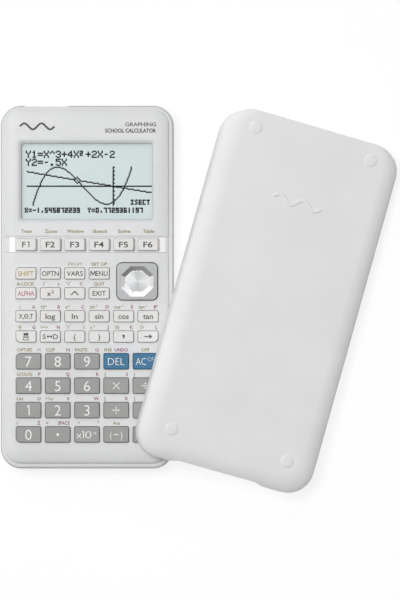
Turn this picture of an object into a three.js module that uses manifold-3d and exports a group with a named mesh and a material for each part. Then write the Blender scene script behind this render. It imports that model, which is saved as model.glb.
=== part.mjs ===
// A school graphing calculator lying on its back, with its slide-on hard cover taken off and
// leaning on its lower right corner. Millimetres, +Z up, the display end towards +Y.
// The origin is the middle of the calculator's back face, and z = 0 is the surface it lies on.

import * as THREE from 'three';
import { mergeVertices } from 'three/addons/utils/BufferGeometryUtils.js';
import Module from 'manifold-3d';

const wasm = await Module();
wasm.setup();

// ---------------------------------------------------------------- driving dimensions

const GAP = 0.3;                 // between pieces that touch on the real object
const OVERRUN = 1;               // how far a cutting body runs past the face it opens

const BODY_WIDTH = 83.5;
const BODY_LENGTH = 175;
const BODY_CORNER = 10;
const PARTING_Z = 10.5;          // rear case below, front case above
const LEDGE_Z = 14.4;            // flat ledge all round the raised face
const FACE_Z = 16.8;             // the raised face that the keys stand in
const KEY_TOP_Z = 18.2;
const LEDGE_WIDTH = 2.4;
const LEDGE_BEVEL = 0.5;
const FACE_BEVEL = { size: 2.4, drop: 1.4 };
const BACK_CHAMFER = 3;
const WALL = 2;
const FACE_THICKNESS = 2;

const KEY_CLEARANCE = 0.3;       // round each key in its hole
const KEY_CORNER = 0.7;
const KEY_OUTER_CORNER = 2.2;    // on the outermost corners of a block of keys
const KEY_BEVEL = 0.35;
const CORNER_STEPS = 1;          // a key's small corners are cut straight across
const KEY_FLANGE_Z = 13.3;
const KEY_FLANGE_THICKNESS = 1.2;

// The flange is how far a key's retaining edge reaches under the face.
const FUNCTION_KEY = { width: 10.3, depth: 6.1, pitch: 11.75, columns: 6, flange: 0.5 };
const SMALL_KEY = { width: 9.7, depth: 5.5, pitch: 11.75, columns: 6, flange: 0.65 };
const LARGE_KEY = { width: 12, depth: 7.6, pitch: 14.07, columns: 5, flange: 0.65 };
const FUNCTION_ROW = { x: 0.3, y: 20.4 };
const SMALL_ROWS_Y = [6.6, -2.95, -14, -23.8];
const LARGE_TOP_ROW_Y = -35.7;
const LARGE_ROW_PITCH = 11.75;

const STRIP = { width: 77.4, depth: 8.6, radius: 1.6, sink: 0.4 };

const PAD = { x: 24.2, y: 2.75, width: 19.4, depth: 17.8, corner: 2.6, bevel: 0.4, clearance: 0.5 };
const PAD_TOP_Z = 18.4;
const PAD_BASE = { z: 12.9, thickness: 1, reach: 1.4 };
const PAD_PIVOT = { z: 14.6, radius: 2.5 };
const PAD_DISH = { across: 15.6, floor: 11.2, depth: 1, sides: 8 };

const SCREEN = { y: 50.9, width: 63.2, height: 36.6, corner: 1 };
const SCREEN_SLOPE = 2.1;        // width of the slope from the face down to the screen
const SCREEN_SHELL = 1.2;        // thickness of the face round the screen
const WINDOW = { width: 67.6, height: 40.6, corner: 1.5, z: 14.5, thickness: 0.8 };
const LCD = { width: 71, height: 42.5, z: 12.4, thickness: 1.8 };

const BOARD_Z = 9;
const BOARD_THICKNESS = 1.2;
const BOARD_INSET = 3.4;
const SOCKET_LENGTH = 7;
const PROCESSOR = { x: 12, y: -20, width: 14, length: 14, height: 1.4 };
const MEMORY = { x: -14, y: -24, width: 8, length: 11, height: 1.2 };
const MAT = { width: 76.5, corner: 5, z: 10.6, thickness: 1.2, top: 26, bottom: -83 };

const CELL = { radius: 5.25, edge: 0.4, length: 43.7, nub: 0.8, nubRadius: 1.9, pitch: 10.9 };
const CELL_COUNT = 4;
const CELL_Z = 7;
const BAY = { y: 50.6, width: 46, length: 48.5 };
const BAY_WALL = 1.4;

const HATCH = { width: 58, from: 21, to: 83.4, z: 0.2, thickness: 1.2, tongue: 1.2 };
const HATCH_SLOT_Z = 1.7;
const HATCH_FLOOR = { thickness: 1.2, reach: 4 };   // above the slot that the hatch slides in
const THUMB_REST = { radius: 5, inset: 9, depth: 0.2 };
const FLOOR = 2;

const GROOVE = { depth: 1, z: 8.7, height: 1.5, from: -88.5, to: 78 };
const PORT_RECESS = { x: -19.8, width: 21.2, depth: 0.45 };
const PORT_CLEARANCE = 0.5;
const DATA_PORT = { x: -14.5, width: 7.6, height: 3.8 };
const LINK_PORT = { x: -25, radius: 2.6, width: 5.2, height: 4.6, lift: 0.4 };
const SCREW_RECESS = { radius: 2.6, depth: 1.1, x: 34.5, rows: [-76, -4, 72] };

const COVER_WIDTH = 89;
const COVER_LENGTH = 174.6;
const COVER_HEIGHT = 12;
const COVER_CORNER = 13;
const COVER_WALL = 2.3;
const COVER_PLATE = 2.2;
const COVER_CROWN = 4.5;         // how far the rounded edge reaches in and down
const COVER_MOUTH = { start: 16, sweep: 8, steps: 4 };   // measured back from the open end
const COVER_LIP = { reach: 0.8, height: 1.2, from: -74, to: 72 };
const COVER_NOTCH = { left: -26, right: 24, depth: 1.2, ramp: 5 };
const COVER_FOOT = { radius: 3.15, height: 0.5, x: 29.2, top: 78.4, bottom: -72 };
const COVER_PLACE = { x: 86, y: -6.1, turn: -16, roll: 9.5, pitch: -2.2 };

// ---------------------------------------------------------------- materials

function plastic(name, color, roughness, metalness = 0) {
  const material = new THREE.MeshStandardMaterial({ color, roughness, metalness });
  material.name = name;
  return material;
}

const CASE = plastic('case', 0xe1e3e4, 0.5);
const COVER = plastic('cover', 0xdfdfe0, 0.55);
const WHITE_KEY = plastic('white_key', 0xe6e3df, 0.45);
const GREY_KEY = plastic('grey_key', 0x98989a, 0.5);
const BLUE_KEY = plastic('blue_key', 0x3f7fae, 0.45);
const SILVER = plastic('silver', 0xc4c6c8, 0.3, 0.9);
const CLEAR = plastic('window', 0xdde4e4, 0.1);
const GLASS = plastic('lcd', 0xcdd8d6, 0.3);
const BOARD = plastic('board', 0x2c6e3f, 0.6);
const RUBBER = plastic('rubber', 0xb8b8ba, 0.9);
const STEEL = plastic('steel', 0xb4b6b8, 0.35, 1);

// ---------------------------------------------------------------- building blocks

// A rectangle with its own radius at each corner, in the order bottom left, bottom right,
// top right, top left. One number stands for all four.
function roundedRect(width, depth, radius, x = 0, y = 0) {
  const [bl, br, tr, tl] = Array.isArray(radius) ? radius : Array(4).fill(radius);
  const left = x - width / 2;
  const right = x + width / 2;
  const low = y - depth / 2;
  const high = y + depth / 2;
  const shape = new THREE.Shape();
  shape.absarc(left + bl, low + bl, bl, Math.PI, 1.5 * Math.PI);
  shape.absarc(right - br, low + br, br, 1.5 * Math.PI, 2 * Math.PI);
  shape.absarc(right - tr, high - tr, tr, 0, 0.5 * Math.PI);
  shape.absarc(left + tl, high - tl, tl, 0.5 * Math.PI, Math.PI);
  shape.closePath();
  return shape;
}

function circle(radius, x = 0, y = 0) {
  return new THREE.Shape().absarc(x, y, radius, 0, 2 * Math.PI);
}

// A closed geometry as a solid that can be joined and cut.
function solid(geometry) {
  const bare = geometry.clone();
  bare.deleteAttribute('normal');
  bare.deleteAttribute('uv');
  const merged = mergeVertices(bare, 1e-4);
  return new wasm.Manifold(new wasm.Mesh({
    numProp: 3,
    vertProperties: new Float32Array(merged.attributes.position.array),
    triVerts: new Uint32Array(merged.index.array),
  }));
}

// A flat-ended body of a shape between two heights.
function slab(shape, low, high, steps = 2) {
  const geometry = new THREE.ExtrudeGeometry(shape, {
    depth: high - low, bevelEnabled: false, curveSegments: steps,
  });
  return solid(geometry.translate(0, 0, low));
}

// The same, with the edges at both ends cut back by a bevel inside the shape.
function bevelledSlab(shape, low, high, size, drop, steps = 2, bevelSegments = 1) {
  const geometry = new THREE.ExtrudeGeometry(shape, {
    depth: high - low - 2 * drop, bevelEnabled: true, bevelSize: size, bevelOffset: -size,
    bevelThickness: drop, bevelSegments, curveSegments: steps,
  });
  return solid(geometry.translate(0, 0, low + drop));
}

function block(width, depth, low, high, x = 0, y = 0) {
  const geometry = new THREE.BoxGeometry(width, depth, high - low);
  return solid(geometry.translate(x, y, (low + high) / 2));
}

function piece(name, body, material) {
  const { vertProperties, triVerts } = body.getMesh();
  const geometry = new THREE.BufferGeometry();
  geometry.setAttribute('position', new THREE.BufferAttribute(vertProperties, 3));
  geometry.setIndex(new THREE.BufferAttribute(triVerts, 1));
  const mesh = new THREE.Mesh(geometry.toNonIndexed(), material);
  mesh.geometry.computeVertexNormals();
  mesh.name = name;
  return mesh;
}

function bodyOutline(inset = 0) {
  const corner = Math.max(BODY_CORNER - inset, 1);
  return roundedRect(BODY_WIDTH - 2 * inset, BODY_LENGTH - 2 * inset, corner);
}

// ---------------------------------------------------------------- the keyboard's plan

const SMALL_NAMES = [
  ['shift', 'optn', 'vars', 'menu'],
  ['alpha', 'square', 'power', 'exit'],
  ['variable', 'log', 'ln', 'sin', 'cos', 'tan'],
  ['fraction', 'convert', 'open_bracket', 'close_bracket', 'comma', 'store'],
];
const LARGE_NAMES = [
  ['7', '8', '9', 'del', 'ac'],
  ['4', '5', '6', 'multiply', 'divide'],
  ['1', '2', '3', 'plus', 'minus'],
  ['0', 'point', 'exponent', 'negative', 'exe'],
];
// Corners in the order bottom left, bottom right, top right, top left.
const OUTER_CORNER = { shift: 3, fraction: 0, store: 1, 7: 3, ac: 2, 0: 0, exe: 1 };

function cornersOf(name) {
  const corners = Array(4).fill(KEY_CORNER);
  if (name in OUTER_CORNER) corners[OUTER_CORNER[name]] = KEY_OUTER_CORNER;
  return corners;
}

function rowOfKeys(names, size, y, material, shift = 0) {
  return names.map((name, column) => ({
    name, y, material, size,
    x: shift + (column - (size.columns - 1) / 2) * size.pitch,
    corners: cornersOf(name),
  }));
}

function keyboardPlan() {
  const functionNames = Array.from({ length: FUNCTION_KEY.columns }, (_, i) => `f${i + 1}`);
  const plan = rowOfKeys(functionNames, FUNCTION_KEY, FUNCTION_ROW.y, WHITE_KEY, FUNCTION_ROW.x);
  SMALL_NAMES.forEach((names, row) => {
    plan.push(...rowOfKeys(names, SMALL_KEY, SMALL_ROWS_Y[row], WHITE_KEY));
  });
  LARGE_NAMES.forEach((names, row) => {
    plan.push(...rowOfKeys(names, LARGE_KEY, LARGE_TOP_ROW_Y - row * LARGE_ROW_PITCH, GREY_KEY));
  });
  for (const key of plan) {
    if (key.name === 'del' || key.name === 'ac') key.material = BLUE_KEY;
  }
  return plan;
}

// ---------------------------------------------------------------- keys and cursor pad

function keyShape({ size, corners, x, y }, grow = 0) {
  const radii = corners.map((radius) => radius + grow);
  return roundedRect(size.width + 2 * grow, size.depth + 2 * grow, radii, x, y);
}

// A cap with a bevelled top on a wider flange that holds it under the face.
function keySolid(key) {
  const flangeTop = KEY_FLANGE_Z + KEY_FLANGE_THICKNESS;
  const low = flangeTop - 2 * KEY_BEVEL;
  const cap = bevelledSlab(keyShape(key), low, KEY_TOP_Z, KEY_BEVEL, KEY_BEVEL, CORNER_STEPS);
  const { width, depth, flange } = key.size;
  const base = block(width + 2 * flange, depth + 2 * flange, KEY_FLANGE_Z, flangeTop, key.x, key.y);
  return cap.add(base);
}

// A plate with an eight-sided dish that has sloping sides and a flat floor.
function padSolid() {
  const plate = bevelledSlab(
    roundedRect(PAD.width, PAD.depth, PAD.corner, PAD.x, PAD.y),
    PAD_PIVOT.z + GAP, PAD_TOP_Z, PAD.bevel, PAD.bevel, 4,
  );
  const { across, floor, depth, sides } = PAD_DISH;
  const dish = new THREE.CylinderGeometry(across / 2, floor / 2, 2 * depth, sides);
  dish.rotateX(Math.PI / 2).rotateZ(Math.PI / sides);
  return plate.subtract(solid(dish.translate(PAD.x, PAD.y, PAD_TOP_Z)));
}

// The sprung base under the pad: a flange that cannot leave the case, and a middle pivot.
function padBaseSolid() {
  const { z, thickness, reach } = PAD_BASE;
  const shape = roundedRect(
    PAD.width + 2 * reach, PAD.depth + 2 * reach, PAD.corner, PAD.x, PAD.y,
  );
  const pivot = slab(circle(PAD_PIVOT.radius, PAD.x, PAD.y), z + thickness / 2, PAD_PIVOT.z, 6);
  return slab(shape, z, z + thickness).add(pivot);
}

// ---------------------------------------------------------------- case

function frontCaseSolid(plan) {
  const low = PARTING_Z + GAP;
  const { size, drop } = FACE_BEVEL;
  const rim = bevelledSlab(bodyOutline(), low - OVERRUN, LEDGE_Z, LEDGE_BEVEL, LEDGE_BEVEL, 5);
  const raised = bevelledSlab(bodyOutline(LEDGE_WIDTH), low - 2 * drop, FACE_Z, size, drop, 5, 2);
  let shell = rim.add(raised).subtract(block(2 * BODY_WIDTH, 2 * BODY_LENGTH, 0, low));
  const underFace = FACE_Z - FACE_THICKNESS;
  shell = shell.subtract(slab(bodyOutline(WALL), 0, LEDGE_Z - WALL, 4));
  shell = shell.subtract(slab(bodyOutline(2 * WALL), 0, underFace, 4));
  for (const key of plan) {
    const shape = keyShape(key, KEY_CLEARANCE);
    shell = shell.subtract(slab(shape, underFace - OVERRUN, FACE_Z + OVERRUN, CORNER_STEPS));
  }
  return shell.subtract(functionStrip()).subtract(padHole())
    .subtract(screenOpening()).subtract(portRecess());
}

// The shallow channel that the row of function keys stands in.
function functionStrip() {
  const shape = roundedRect(STRIP.width, STRIP.depth, STRIP.radius, 0, FUNCTION_ROW.y);
  return slab(shape, FACE_Z - STRIP.sink, FACE_Z + OVERRUN, 3);
}

function padHole() {
  const grow = 2 * PAD.clearance;
  const shape = roundedRect(
    PAD.width + grow, PAD.depth + grow, PAD.corner + PAD.clearance, PAD.x, PAD.y,
  );
  return slab(shape, PARTING_Z, FACE_Z + OVERRUN, 4);
}

// The screen's opening: sloping sides above, and a seat for the window below.
function screenOpening() {
  const wide = roundedRect(
    SCREEN.width + 2 * SCREEN_SLOPE, SCREEN.height + 2 * SCREEN_SLOPE,
    SCREEN.corner + SCREEN_SLOPE, 0, SCREEN.y,
  );
  const slope = bevelledSlab(
    wide, FACE_Z - SCREEN_SHELL, FACE_Z + 2 * SCREEN_SHELL, SCREEN_SLOPE, SCREEN_SHELL, 3,
  );
  const through = slab(
    roundedRect(SCREEN.width, SCREEN.height, SCREEN.corner, 0, SCREEN.y),
    PARTING_Z, FACE_Z - SCREEN_SHELL / 2, 3,
  );
  const seat = block(
    LCD.width + 2 * GAP, LCD.height + 2 * GAP, PARTING_Z, FACE_Z - SCREEN_SHELL, 0, SCREEN.y,
  );
  return slope.add(through).add(seat);
}

// The flat the cable sockets sit in, at the display end.
function portRecess() {
  const depth = PORT_RECESS.depth + OVERRUN;
  const y = BODY_LENGTH / 2 - PORT_RECESS.depth + depth / 2;
  return block(PORT_RECESS.width, depth, -OVERRUN, FACE_Z + OVERRUN, PORT_RECESS.x, y);
}

function rearCaseSolid() {
  const top = PARTING_Z + 2 * BACK_CHAMFER;
  const outer = bevelledSlab(bodyOutline(), 0, top, BACK_CHAMFER, BACK_CHAMFER, 5, 2)
    .subtract(block(2 * BODY_WIDTH, 2 * BODY_LENGTH, PARTING_Z, 2 * PARTING_Z));
  const cavity = slab(bodyOutline(BACK_CHAMFER), FLOOR, PARTING_Z + OVERRUN, 4);
  const { thickness, reach } = HATCH_FLOOR;
  const raisedFloor = block(
    HATCH.width + 2 * reach, HATCH.to - HATCH.from + reach, FLOOR / 2, HATCH_SLOT_Z + thickness,
    0, (HATCH.to + HATCH.from) / 2,
  );
  let shell = outer.subtract(cavity).add(raisedFloor).add(bayWalls());
  shell = shell.subtract(block(BAY.width, BAY.length, -OVERRUN, PARTING_Z + OVERRUN, 0, BAY.y));
  for (const side of [-1, 1]) shell = shell.subtract(sideGroove(side));
  for (const y of SCREW_RECESS.rows) {
    for (const side of [-1, 1]) shell = shell.subtract(screwRecess(side * SCREW_RECESS.x, y));
  }
  return shell.subtract(hatchSlot()).subtract(portRecess()).subtract(portHoles());
}

function bayWalls() {
  const width = BAY.width + 2 * BAY_WALL;
  const length = BAY.length + 2 * BAY_WALL;
  return block(width, length, FLOOR / 2, BOARD_Z - GAP, 0, BAY.y);
}

// The groove along a long side that the hard cover's lip runs in.
function sideGroove(side) {
  const width = GROOVE.depth + OVERRUN;
  const x = side * (BODY_WIDTH / 2 - GROOVE.depth + width / 2);
  const y = (GROOVE.from + GROOVE.to) / 2;
  return block(width, GROOVE.to - GROOVE.from, GROOVE.z, GROOVE.z + GROOVE.height, x, y);
}

function screwRecess(x, y) {
  return slab(circle(SCREW_RECESS.radius, x, y), -OVERRUN, SCREW_RECESS.depth, 5);
}

// The slot that the battery hatch slides in: a narrow mouth with a wider groove above it.
function hatchSlot() {
  const length = BODY_LENGTH - HATCH.from + GAP;
  const y = HATCH.from - GAP + length / 2;
  const lipTop = HATCH.z + HATCH.thickness / 2 - GAP / 2;
  const mouth = block(HATCH.width + 2 * GAP, length, -OVERRUN, HATCH_SLOT_Z, 0, y);
  const grooveWidth = HATCH.width + 2 * HATCH.tongue + 2 * GAP;
  return mouth.add(block(grooveWidth, length, lipTop, HATCH_SLOT_Z, 0, y));
}

// Openings through the end wall in front of the two sockets.
function portHoles() {
  const { x, width, height } = DATA_PORT;
  const end = BODY_LENGTH / 2;
  const slot = block(
    width + 2 * PORT_CLEARANCE, 2 * BODY_CORNER, BOARD_Z - height - PORT_CLEARANCE, BOARD_Z, x, end,
  );
  const { radius, lift } = LINK_PORT;
  const round = new THREE.CylinderGeometry(radius, radius, 2 * BODY_CORNER, 12);
  return slot.add(solid(round.translate(LINK_PORT.x, end, BOARD_Z - radius + lift)));
}

function hatchSolid() {
  const length = HATCH.to - HATCH.from;
  const y = (HATCH.to + HATCH.from) / 2;
  const top = HATCH.z + HATCH.thickness;
  const plate = block(HATCH.width, length, HATCH.z, top, 0, y);
  const tongues = block(
    HATCH.width + 2 * HATCH.tongue, length, HATCH.z + HATCH.thickness / 2 + GAP / 2, top, 0, y,
  );
  const { radius, inset, depth } = THUMB_REST;
  const rest = slab(circle(radius, 0, HATCH.from + inset), -OVERRUN, HATCH.z + 2 * depth, 6);
  return plate.add(tongues).subtract(rest);
}

// ---------------------------------------------------------------- inside

// The board fills the case behind the keys and runs round the battery bay to the sockets.
function boardSolid() {
  const plate = slab(bodyOutline(BOARD_INSET), BOARD_Z, BOARD_Z + BOARD_THICKNESS, 3);
  const bayCut = block(
    BAY.width + 2 * BAY_WALL + 2 * GAP, BAY.length + 2 * BAY_WALL + 2 * GAP,
    0, PARTING_Z + BOARD_THICKNESS, 0, BAY.y,
  );
  const socketY = (BODY_LENGTH - SOCKET_LENGTH) / 2 - BOARD_INSET;
  let board = plate.subtract(bayCut);
  for (const socket of [DATA_PORT, LINK_PORT]) {
    board = board.add(boardPart({ ...socket, y: socketY, length: SOCKET_LENGTH }));
  }
  for (const chip of [PROCESSOR, MEMORY]) board = board.add(boardPart(chip));
  return board;
}

// A chip or socket hanging under the board.
function boardPart({ x, y, width, length, height }) {
  return block(width, length, BOARD_Z - height, BOARD_Z + BOARD_THICKNESS / 2, x, y);
}

function matSolid() {
  const length = MAT.top - MAT.bottom;
  const y = (MAT.top + MAT.bottom) / 2;
  return slab(roundedRect(MAT.width, length, MAT.corner, 0, y), MAT.z, MAT.z + MAT.thickness, 3);
}

function windowSolid() {
  const shape = roundedRect(WINDOW.width, WINDOW.height, WINDOW.corner, 0, SCREEN.y);
  return slab(shape, WINDOW.z, WINDOW.z + WINDOW.thickness, 2);
}

function lcdSolid() {
  return block(LCD.width, LCD.height, LCD.z, LCD.z + LCD.thickness, 0, SCREEN.y);
}

// A cell along Y, its nub towards +Y or, turned round, towards -Y.
function cellMesh(index) {
  const { radius, edge, length, nub, nubRadius, pitch } = CELL;
  const half = (length + nub) / 2;
  const profile = [
    [0, -half], [radius - edge, -half], [radius, edge - half], [radius, half - nub - edge],
    [radius - edge, half - nub], [nubRadius, half - nub], [nubRadius, half], [0, half],
  ].map(([x, y]) => new THREE.Vector2(x, y));
  const mesh = piece(`battery_${index + 1}`, solid(new THREE.LatheGeometry(profile, 14)), STEEL);
  mesh.position.set((index - (CELL_COUNT - 1) / 2) * pitch, BAY.y, CELL_Z);
  mesh.rotation.z = (index % 2) * Math.PI;
  return mesh;
}

// ---------------------------------------------------------------- hard cover

// In its own frame the cover's rim is at z = 0 and its outer face is up. It is open at the
// end towards +Y, so that it can slide onto the calculator.
function coverSolid() {
  const outline = roundedRect(COVER_WIDTH, COVER_LENGTH, COVER_CORNER);
  const outer = bevelledSlab(
    outline, -2 * COVER_CROWN, COVER_HEIGHT, COVER_CROWN, COVER_CROWN, 6, 4,
  ).subtract(block(2 * COVER_WIDTH, 2 * COVER_LENGTH, -3 * COVER_CROWN, 0));
  const ceiling = COVER_HEIGHT - COVER_PLATE;
  const innerWidth = COVER_WIDTH - 2 * COVER_WALL;
  const innerCorner = COVER_CORNER - COVER_WALL;
  const innerLength = COVER_LENGTH - COVER_WALL + OVERRUN;
  const inner = roundedRect(
    innerWidth, innerLength, [innerCorner, innerCorner, 1, 1], 0, (COVER_WALL + OVERRUN) / 2,
  );
  let shell = outer.subtract(slab(inner, -OVERRUN, ceiling, 5)).subtract(coverMouth(ceiling));
  for (const side of [-1, 1]) shell = shell.add(coverLip(side));
  for (const side of [-1, 1]) {
    shell = shell.add(coverFoot(side * COVER_FOOT.x, COVER_FOOT.top));
    shell = shell.add(coverFoot(side * COVER_FOOT.x, COVER_FOOT.bottom));
  }
  return shell.subtract(coverNotch());
}

// The long walls end where the open end's corners begin, and sweep up to the plate there.
function coverMouth(ceiling) {
  const { start, sweep, steps } = COVER_MOUTH;
  const from = COVER_LENGTH / 2 - start;
  const to = COVER_LENGTH / 2 + OVERRUN;
  const profile = new THREE.Shape();
  profile.moveTo(from, -OVERRUN);
  for (let step = 0; step <= steps; step += 1) {
    const angle = (step / steps) * 0.5 * Math.PI;
    profile.lineTo(from + sweep * Math.sin(angle), ceiling * (1 - Math.cos(angle)));
  }
  profile.lineTo(to, ceiling);
  profile.lineTo(to, -OVERRUN);
  profile.closePath();
  const geometry = new THREE.ExtrudeGeometry(profile, {
    depth: 2 * COVER_WIDTH, bevelEnabled: false,
  }).translate(0, 0, -COVER_WIDTH);
  return solid(geometry.applyMatrix4(new THREE.Matrix4().makeBasis(
    new THREE.Vector3(0, 1, 0), new THREE.Vector3(0, 0, 1), new THREE.Vector3(1, 0, 0),
  )));
}

function coverLip(side) {
  const width = COVER_LIP.reach + COVER_WALL / 2;
  const x = side * (COVER_WIDTH / 2 - COVER_WALL - COVER_LIP.reach + width / 2);
  const length = COVER_LIP.to - COVER_LIP.from;
  return block(width, length, 0, COVER_LIP.height, x, (COVER_LIP.to + COVER_LIP.from) / 2);
}

function coverFoot(x, y) {
  const low = COVER_HEIGHT - COVER_PLATE / 2;
  return slab(circle(COVER_FOOT.radius, x, y), low, COVER_HEIGHT + COVER_FOOT.height, 5);
}

// The shallow step in the outline of the closed end.
function coverNotch() {
  const end = -COVER_LENGTH / 2;
  const { left, right, depth, ramp } = COVER_NOTCH;
  const shape = new THREE.Shape();
  shape.moveTo(left, end - OVERRUN);
  shape.lineTo(right, end - OVERRUN);
  shape.lineTo(right, end);
  shape.lineTo(right - ramp, end + depth);
  shape.lineTo(left + ramp, end + depth);
  shape.lineTo(left, end);
  shape.closePath();
  return slab(shape, -OVERRUN, COVER_HEIGHT + OVERRUN, 1);
}

// The cover leans on the calculator's lower right corner, its far corner on the table.
function coverMesh() {
  const mesh = piece('slide_cover', coverSolid(), COVER);
  const [pitch, roll, turn] = ['pitch', 'roll', 'turn'].map(
    (name) => THREE.MathUtils.degToRad(COVER_PLACE[name]),
  );
  mesh.rotation.set(pitch, roll, turn, 'ZYX');
  mesh.position.set(COVER_PLACE.x, COVER_PLACE.y, 0);
  mesh.position.z = -new THREE.Box3().setFromObject(mesh, true).min.z;
  return mesh;
}

// ---------------------------------------------------------------- the whole object

const plan = keyboardPlan();
const calculator = new THREE.Group();
calculator.add(
  piece('rear_case', rearCaseSolid(), CASE),
  piece('front_case', frontCaseSolid(plan), CASE),
  piece('battery_cover', hatchSolid(), CASE),
  piece('circuit_board', boardSolid(), BOARD),
  piece('keypad_mat', matSolid(), RUBBER),
  piece('lcd_module', lcdSolid(), GLASS),
  piece('display_window', windowSolid(), CLEAR),
  piece('cursor_base', padBaseSolid(), RUBBER),
  piece('cursor_pad', padSolid(), SILVER),
);
for (let index = 0; index < CELL_COUNT; index += 1) calculator.add(cellMesh(index));
for (const key of plan) calculator.add(piece(`key_${key.name}`, keySolid(key), key.material));
calculator.add(coverMesh());

export default calculator;
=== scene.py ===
import math

import bmesh
import bpy
from mathutils import Euler, Matrix, Vector


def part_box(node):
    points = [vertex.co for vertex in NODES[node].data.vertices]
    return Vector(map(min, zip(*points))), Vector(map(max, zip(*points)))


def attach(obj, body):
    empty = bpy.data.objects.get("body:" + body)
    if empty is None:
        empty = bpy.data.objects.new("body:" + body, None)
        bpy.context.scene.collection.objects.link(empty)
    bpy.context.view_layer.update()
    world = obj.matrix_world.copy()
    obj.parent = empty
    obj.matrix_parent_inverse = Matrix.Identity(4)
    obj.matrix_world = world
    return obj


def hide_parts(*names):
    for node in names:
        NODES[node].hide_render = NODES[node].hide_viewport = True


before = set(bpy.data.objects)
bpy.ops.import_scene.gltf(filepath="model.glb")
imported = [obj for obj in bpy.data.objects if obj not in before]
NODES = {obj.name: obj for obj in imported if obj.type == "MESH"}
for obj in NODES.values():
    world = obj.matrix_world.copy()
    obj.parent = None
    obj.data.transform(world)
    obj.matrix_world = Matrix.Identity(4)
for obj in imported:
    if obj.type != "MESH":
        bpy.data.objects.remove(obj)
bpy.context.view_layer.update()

MM = 0.001


def mm(*sizes):
    """Sizes given in millimetres, in metres."""
    return tuple(size * MM for size in sizes)


# ---------------------------------------------------------------- shared sizes

CORNER_STEPS = 6             # points round a small corner, and more on the case's large ones
CASE_STEPS = 14
PRINT_THICKNESS = 0.03 * MM  # of printed legends
BEYOND = 1 * MM              # how far a cutter reaches past the surface that it opens
CAP_HEIGHT = 0.72            # of the built-in font, as a share of its size
SMOOTH_ANGLE = 32            # faces that meet more sharply, in degrees, keep a crisp edge

CASE_CORNER = 10 * MM
WALL = 2 * MM
FACE_THICKNESS = 2 * MM
LEDGE_Z = 14.4 * MM          # the flat ledge round the raised face
FACE_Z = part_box("front_case")[1].z
FUNCTION_KEYS = ("f1", "f2", "f3", "f4", "f5", "f6")
KEY_FLANGE = 0.65 * MM       # a key's flange is this much wider than its cap
FUNCTION_KEY_FLANGE = 0.5 * MM
KEY_FLANGE_TOP = 14.5 * MM
KEY_DRAFT = (0.06 * MM,) * 4                            # left, right, bottom, top
FUNCTION_KEY_DRAFT = mm(0.06, 0.75, 0.35, 0.06)
UPRIGHT_SIDE = 1.6 * MM      # how far a cap's sides stand upright before the draft
KEY_CORNER = 0.7 * MM
KEY_OUTER_CORNER = 2.2 * MM
KEY_CLEARANCE = 0.2 * MM
FUNCTION_KEY_CLEARANCE = 0.06 * MM
PAD_CLEARANCE = 0.4 * MM
PAD_CORNER = 2.6 * MM
PAD_STEPS = 8

COVER_TILT = Euler([math.radians(a) for a in (-2.2, 9.5, -16)])   # how the hard cover leans


# ---------------------------------------------------------------- mesh helpers

def ring(x0, x1, y0, y1, radii, z, steps=CORNER_STEPS):
    """A rounded rectangle at height z, anticlockwise from its bottom left corner."""
    bl, br, tr, tl = radii if isinstance(radii, tuple) else (radii,) * 4
    corners = (
        (x0 + bl, y0 + bl, bl, 180), (x1 - br, y0 + br, br, 270),
        (x1 - tr, y1 - tr, tr, 0), (x0 + tl, y1 - tl, tl, 90),
    )
    points = []
    for cx, cy, radius, start in corners:
        for step in range(steps + 1):
            angle = math.radians(start + 90 * step / steps)
            points.append((cx + radius * math.cos(angle), cy + radius * math.sin(angle), z))
    return points


def widened(insets, extra):
    return tuple(side + extra for side in insets)


def inset_ring(box, inset, radii, z, steps=CORNER_STEPS):
    """ring() inside a box (x0, x1, y0, y1), by one inset or by (left, right, bottom, top)."""
    left, right, bottom, top = inset if isinstance(inset, tuple) else (inset,) * 4
    x0, x1, y0, y1 = box
    return ring(x0 + left, x1 - right, y0 + bottom, y1 - top, radii, z, steps)


def stack(box, levels, steps=CORNER_STEPS):
    """An inset_ring() for each (inset, radii, z) of the levels."""
    return [inset_ring(box, *level, steps) for level in levels]


def quarter_round(step, start=0):
    """The way in and the way down of a rounded edge, as shares of its size, from wall to top."""
    for degrees in range(start, 91, step):
        angle = math.radians(degrees)
        yield 1 - math.cos(angle), 1 - math.sin(angle)


def shares(steps):
    """Evenly spaced numbers from 0 to 1."""
    return [step / steps for step in range(steps + 1)]


def polygon(x, y, rx, ry, z, sides, turn=0.0):
    """A regular polygon, or with many sides a circle, at height z."""
    angles = [turn + 2 * math.pi * i / sides for i in range(sides)]
    return [(x + rx * math.cos(a), y + ry * math.sin(a), z) for a in angles]


def loft(bm, rings, material=0):
    """A closed body through rings of equal length, with a cap at each end."""
    rows = [[bm.verts.new(point) for point in points] for points in rings]
    faces = []
    for low, high in zip(rows, rows[1:]):
        for i in range(len(low)):
            j = (i + 1) % len(low)
            faces.append(bm.faces.new((low[i], low[j], high[j], high[i])))
    faces.append(bm.faces.new(list(reversed(rows[0]))))
    faces.append(bm.faces.new(rows[-1]))
    for face in faces:
        face.material_index = material
    return faces


def solid(rings):
    """One loft on its own, to make an object from or to combine with another."""
    bm = bmesh.new()
    loft(bm, rings)
    return bm


def slab(bm, x0, x1, y0, y1, z0, z1, radii=0.05 * MM, material=0, steps=2):
    return loft(bm, [ring(x0, x1, y0, y1, radii, z, steps) for z in (z0, z1)], material)


def block(*sizes, **options):
    """One slab on its own, likewise."""
    bm = bmesh.new()
    slab(bm, *sizes, **options)
    return bm


def disc(bm, x, y, radius, z0, z1, sides=32, material=0):
    return loft(bm, [polygon(x, y, radius, radius, z, sides) for z in (z0, z1)], material)


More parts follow.
